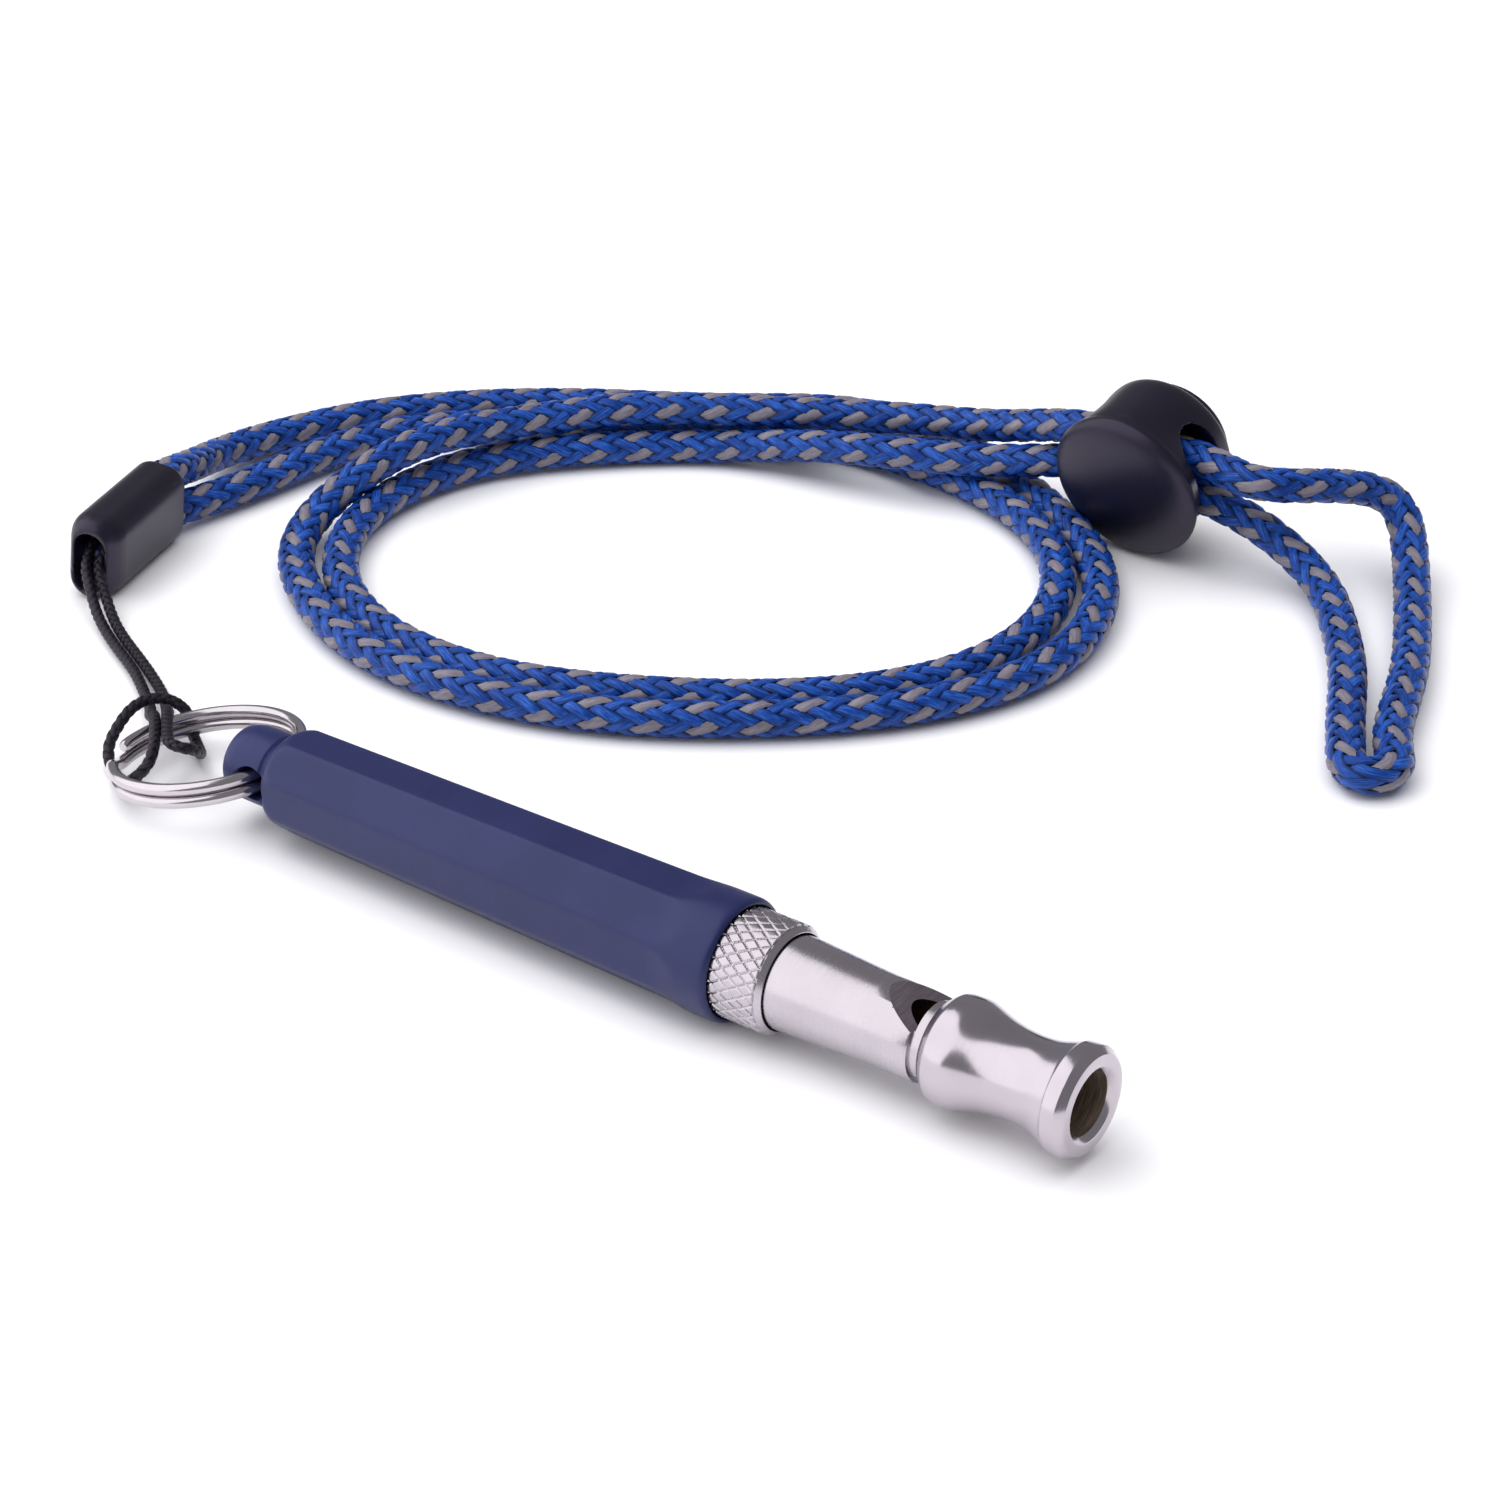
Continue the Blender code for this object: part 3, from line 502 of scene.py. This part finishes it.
def turned(name, profile, sides, place, materials, closed_loop=False, reach=None, smooth_angle=35.0):
    """A solid turned about the frame's Z axis from (along, radius) points in millimetres.

    reach(angles, along, radius) may reshape each ring's radius.
    """
    angles = 2 * math.pi * np.arange(sides) / sides
    rings = []
    for along, radius in profile:
        radii = np.full(sides, float(radius)) if reach is None else reach(angles, along, radius)
        ring = [radii * np.cos(angles), radii * np.sin(angles), np.full(sides, along)]
        rings.append(np.stack(ring, axis=1))
    faces = grid_faces(len(rings), sides, closed_loop=closed_loop)
    return new_piece(name, placed(np.concatenate(rings), place), faces, materials, smooth_angle)


def crosswise(name, section, half_width, place):
    """A cutter with this (up, along) section that reaches half_width to each side."""
    points = [(across, up, along) for across in (-half_width, half_width) for up, along in section]
    return new_piece(name, placed(points, place), grid_faces(2, len(section)), [])


def wire(name, centre, up, radii, sides, material):
    """A round wire along the centre line of a coil whose axis is up, with its radii in millimetres."""
    side = unit(np.cross(np.gradient(centre, axis=0), up))
    around = 2 * math.pi * np.arange(sides) / sides
    offsets = np.cos(around)[None, :, None] * side[:, None, :] + np.sin(around)[None, :, None] * up
    points = centre[:, None, :] + MM * radii[:, None, None] * offsets
    return new_piece(name, points.reshape(-1, 3), grid_faces(len(centre), sides), [material])


def frame_at(origin, across, up, along):
    """The matrix of the frame with this origin, and these as its X, Y and Z axes."""
    matrix = Matrix.Translation(origin)
    for column, axis in enumerate((across, up, along)):
        for row in range(3):
            matrix[row][column] = axis[row]
    return matrix


def paint_faces(obj, index, chosen):
    """Gives a material index to the faces whose centre the test chooses."""
    for face in obj.data.polygons:
        if chosen(face.center):
            face.material_index = index


def cut(obj, cutter, smooth_angle=35.0):
    """Cuts the cutter out of the object, for good, and deletes the cutter."""
    modifier = obj.modifiers.new("cut", "BOOLEAN")
    modifier.operation = "DIFFERENCE"
    modifier.object = cutter
    bake_modifiers(obj, smooth_angle)
    bpy.data.objects.remove(cutter)


def bake_modifiers(obj, smooth_angle=35.0):
    """Makes the modifiers' result the object's own mesh."""
    graph = bpy.context.evaluated_depsgraph_get()
    mesh = bpy.data.meshes.new_from_object(obj.evaluated_get(graph))
    obj.modifiers.clear()
    obj.data = mesh
    finish_shading(mesh, smooth_angle)


def moulded(obj, voxel_mm, rounds, material):
    """Remeshes the solid finely and softens its edges, as a moulded part's are, in this one material."""
    remesh = obj.modifiers.new("remesh", "REMESH")
    remesh.mode = "VOXEL"
    remesh.voxel_size = voxel_mm * MM
    soften = obj.modifiers.new("soften", "SMOOTH")
    soften.factor = 0.5
    soften.iterations = rounds
    bake_modifiers(obj, 60.0)
    obj.data.materials.clear()
    obj.data.materials.append(material)


def slot_outline(near, far, half_up, round_ends):
    """A slot's outline, (up, along) points, with round ends upwards and downwards."""
    points = []
    middle = (near + far) / 2
    half = (far - near) / 2
    for end in (1, -1):
        for step in range(13):
            angle = math.pi * step / 12
            rise = half_up - round_ends + round_ends * math.sin(angle)
            points.append((rise * end, middle + half * math.cos(angle) * end))
    return points


# ---------------------------------------------------------------------------------------------
# Cords


def travelling_frame(centre, level):
    """Side and up along a line. A level frame keeps its side flat; any other doesn't twist."""
    tangent = unit(np.gradient(centre, axis=0))
    if level:
        side = unit(np.cross(tangent, (0.0, 0.0, 1.0)))
    else:
        side = np.empty_like(tangent)
        side[0] = unit(np.cross(tangent[0], (0.0, 0.0, 1.0)))
        for index in range(1, len(side)):
            side[index] = unit(side[index - 1] - tangent[index] * (side[index - 1] @ tangent[index]))
    return side, np.cross(side, tangent)


# A strand's cross-section: (across, out) in half widths and half thicknesses.
RIBBON = np.array(((-1.0, -0.15), (-0.52, 0.85), (0.52, 0.85), (1.0, -0.15), (0.0, -0.8)))


def braid(name, centre, level, half_width, half_height, strands, pitch, width, thick, materials, tracer_of):
    """A tubular braid of strands in each direction, each over two and under two of the others.

    centre is in metres; the sizes are in millimetres. tracer_of(strand) is True for a tracer strand of the
    first direction, which takes the second material; the core has the last one.
    """
    side, up = travelling_frame(centre, level)
    steps = np.linalg.norm(np.diff(centre, axis=0), axis=1)
    along = np.concatenate([[0.0], np.cumsum(steps)]) / MM
    lift = thick * CROSSING_LIFT
    points = []
    faces = []
    slots = []
    uvs = []
    count = len(centre)
    sides = len(RIBBON)
    for direction in (1, -1):
        for strand in range(strands):
            phase = direction * 2 * math.pi * along / pitch + 2 * math.pi * strand / strands
            order = 2 * strand + direction * 2 * strands * along / pitch
            wave = direction * np.cos(math.pi / 2 * (order - 0.5))
            height = lift * wave / np.sqrt(wave**2 + CROSSING_SOFTNESS)
            sunk = thick / 2 + lift - height
            across = (half_width - sunk) * np.cos(phase)
            rise = (half_height - sunk) * np.sin(phase)
            line = centre + MM * (across[:, None] * side + rise[:, None] * up)
            slope_across = np.cos(phase)[:, None] / half_width
            slope_up = np.sin(phase)[:, None] / half_height
            outward = unit(slope_across * side + slope_up * up)
            heading = unit(np.gradient(line, axis=0))
            lateral = unit(np.cross(outward, heading))
            outward = np.cross(heading, lateral)
            first = len(points) * count * sides
            ring = line[:, None, :] + MM * (
                RIBBON[None, :, :1] * width / 2 * lateral[:, None, :]
                + RIBBON[None, :, 1:] * thick / 2 * outward[:, None, :]
            )
            points.append(ring.reshape(-1, 3))
            made = grid_faces(count, sides, first)
            faces.extend(made)
            slots.extend([1 if direction == 1 and tracer_of(strand) else 0] * len(made))
            streaks_from = 17.0 * strand + 5.0 * direction  # so that no two strands have the same streaks
            shares = RIBBON[:, 0] / 2 + 0.5 + streaks_from
            table = np.stack(np.broadcast_arrays(along[:, None], shares[None, :]), axis=-1)
            uvs.append(table.reshape(-1, 2))
    core_sides = 10
    turn = 2 * math.pi * np.arange(core_sides) / core_sides
    thin = slice(None, None, 3)
    reach = thick + 2 * lift
    core = centre[thin, None, :] + MM * (
        (half_width - reach) * np.cos(turn)[None, :, None] * side[thin, None, :]
        + (half_height - reach) * np.sin(turn)[None, :, None] * up[thin, None, :]
    )
    first = sum(len(block) for block in points)
    made = grid_faces(len(core), core_sides, first)
    faces.extend(made)
    slots.extend([2] * len(made))
    points.append(core.reshape(-1, 3))
    uvs.append(np.zeros((core.shape[0] * core_sides, 2)))
    return cord_mesh(name, np.concatenate(points), faces, slots, np.concatenate(uvs), materials)


def cord_mesh(name, points, faces, slots, uvs, materials):
    """The braid's mesh, with its slots and its yarn coordinates in the UV map named fibre."""
    obj = new_piece(name, points, faces, materials, 50.0)
    mesh = obj.data
    mesh.polygons.foreach_set("material_index", slots)
    layer = mesh.uv_layers.new(name="fibre")
    corners = np.empty(len(mesh.loops), np.int32)
    mesh.loops.foreach_get("vertex_index", corners)
    layer.data.foreach_set("uv", uvs[corners].astype(np.float32).ravel())
    return obj


def add_lanyard():
    """The blue braid with its grey tracers, and the line that it follows."""
    line = natural_curve(np.array(LANYARD_ROUTE) * MM, 24)
    centre = evenly(line, 0.6 * MM)
    blue = ((0.001, 0.009, 0.075), (0.005, 0.045, 0.27), (0.035, 0.15, 0.62))
    grey = ((0.11, 0.10, 0.125), (0.165, 0.15, 0.185), (0.25, 0.23, 0.28))
    # The core is the cord's real core, but its near-black blue is painted shade that darkens the gaps between
    # the strands.
    core_shade_tones = ((0.001, 0.004, 0.025), (0.002, 0.006, 0.035), (0.004, 0.01, 0.05))
    tint = (0.4, 0.55, 1.0)
    materials = [
        yarn_material("blue_yarn", blue, 0.3, tint),
        yarn_material("tracer_yarn", grey, 0.4, (1.0, 1.0, 1.0), fibres=6.0, depth=0.03, edge=0.3),
        yarn_material("cord_core", core_shade_tones, 0.8, tint),
    ]
    obj = braid(
        "lanyard_braid", centre, True, CORD_HALF_WIDTH, CORD_HALF_HEIGHT, CORD_STRANDS, CORD_PITCH,
        width=1.06, thick=0.46, materials=materials, tracer_of=lambda strand: strand % 2 == 0,
    )
    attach(obj, "ring_and_lanyard")
    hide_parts("lanyard")
    return obj, centre


def add_tether():
    """The fine black braid, and the line that it follows."""
    line = natural_curve(np.array(TETHER_ROUTE) * MM, 16)
    centre = evenly(line, 0.16 * MM)
    tones = ((0.003, 0.003, 0.004), (0.007, 0.006, 0.009), (0.026, 0.023, 0.032))
    black = yarn_material("black_yarn", tones, 0.45, (0.9, 0.8, 1.0))
    obj = braid(
        "tether_braid", centre, False, TETHER_RADIUS, TETHER_RADIUS, TETHER_STRANDS, TETHER_PITCH,
        width=0.5, thick=0.2, materials=[black, black, black], tracer_of=lambda strand: False,
    )
    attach(obj, "ring_and_lanyard")
    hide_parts("tether")
    return obj, centre


# ---------------------------------------------------------------------------------------------
# The whistle


def soft_min(first, second, sharpness=90.0):
    """The smaller of two lengths, rounded a little where they cross."""
    return (first**-sharpness + second**-sharpness) ** (-1.0 / sharpness)


def barrel_reach(angles, along, radius):
    """The eight flats and the round lands between them, inside the turned radius."""
    if not 33.0 < along < 76.2 or radius < 3.9:
        return np.full(len(angles), float(radius))
    flat = FLAT_FRONT + (FLAT_REAR - FLAT_FRONT) * (along - FLATS_FRONT) / (FLATS_REAR - FLATS_FRONT)
    if along < SCALLOP_START:
        flat += (SCALLOP_START - along) ** 2 / (2 * SCALLOP_RADIUS)
    from_middle = (angles + math.pi / 8) % (math.pi / 4) - math.pi / 8
    return soft_min(flat / np.cos(from_middle), float(radius))


def add_barrel(coat):
    """The sleeve: eight flats that run out in scallops behind a round collar, a neck and a stub."""
    land_front = COLLAR_R
    land_rear = FLAT_REAR * CORNER_SHARE
    stub = natural_curve((
        (82.0, 1.9), (81.93, 2.4), (81.7, 2.78), (81.3, 3.0), (80.7, 3.13), (80.2, 3.15),
    ), 3)
    neck = [(78.0, 3.15), (77.75, 3.12), (77.6, 3.0), (77.45, 2.92), (77.15, 2.9), (77.0, 2.93), (76.9, 3.1)]
    shoulder = natural_curve(
        ((76.85, 3.25), (76.7, 3.62), (76.3, 3.98), (75.8, 4.2), (FLATS_REAR, land_rear)), 4
    )
    profile = [*stub, *neck, *shoulder]
    for station in np.linspace(74.6, 37.0, 24):
        share = (FLATS_REAR - station) / (FLATS_REAR - FLATS_FRONT)
        profile.append((station, land_rear + (land_front - land_rear) * share))
    for station in np.linspace(36.6, 33.2, 18):
        profile.append((station, land_front))
    collar = natural_curve((
        (32.6, COLLAR_R), (31.7, COLLAR_R), (31.25, 4.92), (30.97, 4.82), (30.83, 4.67), (30.8, 4.54),
        (30.88, 4.47),
    ), 3)
    profile.extend(collar)
    profile.extend(((31.9, 4.47), (32.0, 3.55), (52.0, 3.55), (52.4, 3.0), (70.4, 3.0), (70.5, 1.0)))
    obj = turned("barrel_sleeve", profile, 192, WHISTLE, [coat], reach=barrel_reach, smooth_angle=28.0)
    hole_profile = [
        (-6.0, 3.5), (-3.15, 1.85), (-2.95, 1.6), (-2.7, 1.47), (2.7, 1.47), (2.95, 1.6), (3.15, 1.85),
        (6.0, 3.5),
    ]
    hole_place = Matrix.Translation(HOLE) @ Matrix.Rotation(math.pi / 2, 4, "X")
    cut(obj, turned("hole_cutter", hole_profile, 48, hole_place, []), 28.0)
    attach(obj, "barrel_body")
    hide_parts("barrel")


def add_plunger(nickel, rubber):
    """The rod and its piston, with the seal in the piston's groove."""
    profile = [
        (70.1, 1.2), (26.6, 1.2), (26.2, 1.6), (25.9, 2.3), (24.45, 2.3), (24.35, 2.25), (24.3, 1.75),
        (23.1, 1.75), (23.05, 2.25), (22.95, 2.3), (21.25, 2.3), (21.0, 2.1), (20.95, 1.4),
    ]
    rod = turned("plunger", profile, 64, WHISTLE, [nickel])
    turn = 2 * math.pi * np.arange(16) / 16
    outline = [(23.7 + 0.32 * math.cos(angle), 2.12 + 0.3 * math.sin(angle)) for angle in turn]
    seal = turned("piston_ring", outline, 64, WHISTLE, [rubber], closed_loop=True)
    for obj, name, slot_name in ((rod, "plunger_rod", "nickel"), (seal, "piston_seal", "seal_rubber")):
        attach(obj, "barrel_body")
        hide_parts(name)


def thread_reach(angles, along, radius):
    """A right-handed V thread on the shank."""
    if not 28.4 < along < 50.4 or radius < 3.0:
        return np.full(len(angles), float(radius))
    turn = (along / THREAD_LEAD + angles / (2 * math.pi)) % 1.0
    return radius - THREAD_DEPTH * np.abs(2 * turn - 1)


def add_tube(nickel, bore, ledge):
    """The tapered tube with its window, a threaded shank behind it and the spigot in front."""
    body = natural_curve((
        (26.9, 3.6), (26.2, 3.72), (24.0, 3.655), (22.0, 3.57), (20.0, 3.47), (18.0, 3.4),
    ), 6)
    thread = [(station, THREAD_R) for station in np.linspace(50.4, 28.4, 235)]
    profile = [
        (51.0, 2.9), (50.6, 3.1), *thread, (28.2, 3.1), (27.3, 3.1), (27.2, 3.5), (27.0, 3.58), *body,
        (16.0, 3.4), (13.9, 3.4), (13.75, 3.33), (13.7, 3.05), (9.9, 3.05), (9.7, 2.95), (9.7, 2.65),
        (51.0, 2.65),
    ]
    materials = [nickel, bore, ledge]
    obj = turned("tube", profile, 96, WHISTLE, materials, closed_loop=True, reach=thread_reach)
    # The whistle's frame has Y down, so heights above its axis are negative here.
    window = [
        (-3.6, 17.75), (-3.38, 17.2), (-LEDGE_HEIGHT, LEDGE_STATION), (-6.0, LEDGE_STATION), (-6.0, 17.75),
    ]
    cut(obj, crosswise("window_cutter", window, 5.0, WHISTLE))

    def inside(centre):
        return math.hypot(centre.y, centre.z - HOLE.z) < BORE_LIMIT * MM

    def on_ledge(centre):
        station = (FRONT_X - centre.x) / MM
        height = (centre.z - HOLE.z) / MM
        above = height - LEDGE_HEIGHT - LEDGE_SLOPE * (station - LEDGE_STATION)
        return 13.5 < station < 17.3 and abs(above) < 0.03

    paint_faces(obj, 1, inside)
    # The ledge's faces take the dark grey that is painted shade inside the window.
    paint_faces(obj, 2, on_ledge)
    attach(obj, "tube_body")
    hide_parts("whistle_tube")


def add_plug(bore):
    """The plug in the mouthpiece's bore, flat on top for the windway."""
    profile = [(13.2, 2.2), (13.1, 2.35), (9.6, 2.35), (9.35, 2.2), (9.3, 2.0)]
    obj = turned("windway_block", profile, 96, WHISTLE, [bore])
    corners = ((-3, 1.75), (3, 1.75), (3, 4), (-3, 4))
    points = [(across, -up, along) for along in (8.0, 15.0) for across, up in corners]
    cut(obj, new_piece("windway_cutter", placed(points, WHISTLE), grid_faces(2, 4), []))
    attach(obj, "tube_body")
    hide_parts("windway_plug")


def add_mouthpiece(nickel, bore):
    """The mouthpiece: a bevelled rear edge, a bulge, a waist and a flare to the front band and its rim."""
    waist = natural_curve((
        (11.85, 4.17), (11.4, 4.23), (10.9, 4.25), (10.3, 4.22), (9.65, 4.06), (8.8, 3.79), (8.0, 3.58),
        (7.15, 3.43), (6.2, 3.33), (5.3, 3.31), (4.6, 3.36), (3.9, 3.47), (3.25, 3.65), (2.6, 3.87),
        (1.95, 4.1),
    ), 5)
    profile = [
        (12.68, 3.42), (12.72, 3.46), (12.7, 3.52), (12.05, 4.06), (11.97, 4.12), *waist,
        (1.84, 4.16), (1.76, 4.22), (0.66, 4.3), (0.56, 4.27), (0.1, 3.88), (0.03, 3.82), (0.0, 3.74),
        (0.0, 2.98), (0.03, 2.9), (0.34, 2.56), (0.42, 2.5), (9.25, 2.5), (9.35, 3.38), (12.65, 3.38),
    ]
    obj = turned("mouth_tube", profile, 128, WHISTLE, [nickel, bore], closed_loop=True, smooth_angle=24.0)

    def inside(centre):
        depth = FRONT_X - centre.x
        return math.hypot(centre.y, centre.z - HOLE.z) < 2.52 * MM and depth > 0.4 * MM

    paint_faces(obj, 1, inside)
    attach(obj, "mouthpiece_body")
    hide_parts("mouthpiece")


def knurl_reach(angles, along, radius):
    """Two sets of crossing grooves that leave small diamonds."""
    if not 26.8 <= along <= 31.0 or radius < 4.0:
        return np.full(len(angles), float(radius))
    groove = np.zeros(len(angles))
    for lean in (1, -1):
        turn = (KNURL_STARTS * angles / (2 * math.pi) + lean * along / KNURL_LEAD) % 1.0
        from_line = np.minimum(turn, 1 - turn)
        groove = np.maximum(groove, np.clip(1 - from_line / KNURL_GROOVE, 0.0, 1.0))
    return radius - KNURL_DEPTH * groove


def add_nut(nickel):
    """The lock nut with a diamond knurl and a smooth bevelled rim."""
    knurl = [(station, NUT_R) for station in np.linspace(31.0, 26.8, 64)]
    profile = [
        (31.3, 4.1), (31.2, 4.22), *knurl, (26.74, 4.24), (26.66, 4.26), (26.36, 4.0), (26.26, 3.92),
        (26.25, 3.86), (26.6, 3.84), (27.75, 3.82), (27.9, 3.56), (31.3, 3.56),
    ]
    obj = turned(
        "knurled_nut", profile, KNURL_STARTS * 16, WHISTLE, [nickel], closed_loop=True, reach=knurl_reach,
        smooth_angle=30.0,
    )
    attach(obj, "nut_body")
    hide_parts("lock_nut")


# ---------------------------------------------------------------------------------------------
# The ring, the cord end and the cord lock


def add_ring(steel):
    """Two turns of wire that step from one level to the other beside their ends."""
    count = 361
    angle = np.linspace(math.radians(16), math.radians(704), count)
    rise = np.clip((angle - math.radians(346)) / math.radians(28), 0.0, 1.0)
    level = (rise * rise * (3 - 2 * rise) - 0.5) * RING_PITCH
    turn = angle + math.radians(215)
    line = np.stack([RING_R * np.cos(turn), RING_R * np.sin(turn), level], axis=1)
    place = Matrix.Translation(RING_CENTRE) @ Matrix.Rotation(-RING_TILT, 4, "Y")
    centre = placed(line, place)
    up = np.array((place.to_3x3() @ Vector((0, 0, 1))).normalized())
    radii = np.full(count, RING_WIRE_R)
    radii[[0, -1]] -= 0.18
    radii[[1, -2]] -= 0.04
    obj = wire("key_ring", centre, up, radii, 24, steel)
    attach(obj, "ring_and_lanyard")
    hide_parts("split_ring")


def end_place():
    """The cord end's frame: Z forwards from its rear face, X across and Y up, leaning with the block."""
    up = Vector((0, 0, 1))
    level = frame_at(END_REAR, up.cross(END_HEADING), up, END_HEADING)
    return level @ Matrix.Rotation(-END_ROLL, 4, "Z")


def rounded_rectangle(half_width, low, high, corner, per_corner=8):
    """(across, up) points of a rectangle with round corners."""
    points = []
    centres = (
        (half_width - corner, high - corner, 0.0),
        (corner - half_width, high - corner, math.pi / 2),
        (corner - half_width, low + corner, math.pi),
        (half_width - corner, low + corner, 3 * math.pi / 2),
    )
    for across, up, start in centres:
        for step in range(per_corner + 1):
            angle = start + math.pi / 2 * step / per_corner
            points.append((across + corner * math.cos(angle), up + corner * math.sin(angle)))
    return points


def lofted(name, sections, place, materials):
    """A solid over (along, outline) sections, each outline a list of (across, up) points."""
    points = [(across, up, along) for along, outline in sections for across, up in outline]
    faces = grid_faces(len(sections), len(sections[0][1]))
    return new_piece(name, placed(points, place), faces, materials)


def end_sections(stations):
    """Sections of the cord end from (along, half width, low, high, corner) about its middle."""
    sections = []
    for along, half, low, high, corner in stations:
        sections.append((along, rounded_rectangle(half, low, high, corner)))
    return sections


def add_cord_end(plastic, melted):
    """The block that grips the lanyard's two ends at its rear and the tether's at its front."""
    place = end_place()
    wide = END_WIDTH / 2
    tall = END_HEIGHT / 2
    block = (
        (0.0, wide - 0.12, 0.1 - tall, tall - 0.1, 1.85), (0.35, wide, -tall, tall, 1.95),
        (11.7, wide, -tall, tall, 1.95), (12.4, wide - 0.1, -tall, tall - 0.02, 1.95),
        (13.1, wide - 0.38, -tall, tall - 0.15, 1.9), (13.6, wide - 0.7, 0.1 - tall, tall - 0.4, 1.8),
        (13.9, wide - 1.02, 0.35 - tall, tall - 0.72, 1.5),
    )
    obj = lofted("cord_end_block", end_sections(block), place, [plastic])
    socket = ((-1.0, 2.25, -3.6, 3.6, 1.5), (2.0, 2.1, -3.5, 3.5, 1.5), (7.5, 2.1, -3.5, 3.5, 1.5))
    cut(obj, lofted("socket_cutter", end_sections(socket), place, []))
    mouth = (
        (9.0, 1.35, -0.2, 2.2, 1.2), (11.5, 1.4, -2.0, 2.4, 1.35), (13.0, 1.45, -2.9, 2.5, 1.4),
        (13.7, 1.52, -3.25, 2.62, 1.45), (14.6, 1.9, -3.7, 3.0, 1.8),
    )
    cut(obj, lofted("mouth_cutter", end_sections(mouth), place, []))
    moulded(obj, 0.16, 5, plastic)
    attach(obj, "ring_and_lanyard")
    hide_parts("cord_end")
    bulge = [(10.7, 0.3), (10.9, 0.75), (11.4, 1.05), (11.9, 0.95), (12.3, 0.62), (12.5, 0.2)]

    def lumpy(angles, along, radius):
        return radius * (1 + 0.18 * np.sin(3 * angles + along) + 0.1 * np.cos(5 * angles - 2 * along))

    tips_place = place @ Matrix.Translation(Vector((0.0, -0.6, -0.9)) * MM)
    tips = turned("melted_tips", natural_curve(bulge, 4), 40, tips_place, [melted], reach=lumpy)
    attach(tips, "ring_and_lanyard")
    return [obj, tips]


def lock_place():
    """The cord lock's frame: Z runs out along the button's travel, X across and Y up."""
    return frame_at(LOCK_CENTRE, LOCK_UP.cross(LOCK_OUT), LOCK_UP, LOCK_OUT)


def add_lock(plastic):
    """The lock's domed, waisted body and its sprung button."""
    place = lock_place()
    plan = natural_curve((
        (-1.0, 1.2, 1.2), (-0.95, 3.2, 3.2), (-0.79, 5.1, 5.1), (-0.47, 6.45, 6.45), (-0.1, 7.12, 7.12),
        (0.3, 7.45, 7.45), (0.55, 7.5, 7.5), (0.8, 7.36, 7.42), (1.5, 7.05, 7.42), (2.6, 6.62, 7.42),
        (4.2, 6.4, 7.4), (5.8, 6.42, 7.36), (7.0, 6.5, 7.2), (7.8, 6.5, 6.9), (8.3, 6.38, 6.5),
        (8.6, 6.0, 6.05),
    ), 4)
    sides = 96
    turn = 2 * math.pi * np.arange(sides) / sides
    sections = []
    for along, across, up in plan:
        sections.append((along, list(zip(across * np.cos(turn), up * np.sin(turn)))))
    body = lofted("lock_body", sections, place, [plastic])
    cavity = [(-0.2, 4.6), (6.9, 4.6), (7.0, 5.45), (9.5, 5.45)]
    cut(body, turned("cavity_cutter", cavity, 64, place, []))
    cut(body, crosswise("slot_cutter", slot_outline(2.2, 6.5, 5.4, 2.15), 12.0, place))
    moulded(body, 0.17, 4, plastic)
    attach(body, "ring_and_lanyard")
    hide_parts("cord_lock_body")

    dome = natural_curve((
        (9.55, 5.25), (9.85, 5.12), (10.12, 4.7), (10.3, 3.8), (10.42, 2.2), (10.45, 0.8),
    ), 4)
    stem = [(1.7, 4.1), (1.8, 4.3), (2.0, 4.4), (8.3, 4.4), (8.36, 5.15), (8.45, 5.25), *dome]
    button = turned("lock_button", stem, 96, place, [plastic])
    cut(button, crosswise("button_cutter", slot_outline(2.5, 7.7, 3.8, 1.6), 12.0, place))
    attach(button, "button_body")
    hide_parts("cord_lock_button")
    return [body, button]


def add_lock_spring(steel):
    """The small coil under the button's stem."""
    turns = 2.5
    coil_r = 2.6
    share = np.linspace(0.0, 1.0, 161)
    turn = 2 * math.pi * turns * share
    line = np.stack([coil_r * np.cos(turn), coil_r * np.sin(turn), 0.1 + 1.25 * share], axis=1)
    centre = placed(line, lock_place())
    obj = wire("lock_spring", centre, np.array(LOCK_OUT), np.full(len(centre), 0.19), 12, steel)
    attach(obj, "ring_and_lanyard")
    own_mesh(obj)
    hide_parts("cord_lock_spring")
    return obj


# ---------------------------------------------------------------------------------------------
# The whole object


def main():
    add_camera()
    add_stage()
    lanyard, lanyard_line = add_lanyard()
    tether, tether_line = add_tether()

    coat = navy_material()
    polished = nickel_material("polished_nickel", (0.54, 0.495, 0.54), 0.17, 0.5, 0.006)
    satin = nickel_material("satin_nickel", (0.54, 0.50, 0.54), 0.24, 1.0, 0.006)
    steel = nickel_material("ring_steel", (0.58, 0.54, 0.57), 0.16, 0.2, 0.004)
    bore = bore_material("bare_bore", (0.16, 0.12, 0.085), (0.32, 0.25, 0.19), (0.55, 0.45, 0.36))
    # The window ledge's dark grey is painted shade, laid over the tube's cut face inside the window.
    ledge = bore_material("window_ledge", (0.12, 0.1, 0.115), (0.16, 0.135, 0.155), (0.22, 0.19, 0.215))
    plastic = plastic_material()

    add_barrel(coat)
    add_plunger(satin, rubber_material())
    add_tube(satin, bore, ledge)
    add_plug(bore)
    add_mouthpiece(polished, bore)
    add_nut(satin)
    add_ring(steel)
    end_pieces = add_cord_end(plastic, melted_material())
    lock_pieces = add_lock(plastic)
    lock_pieces.append(add_lock_spring(steel))


main()
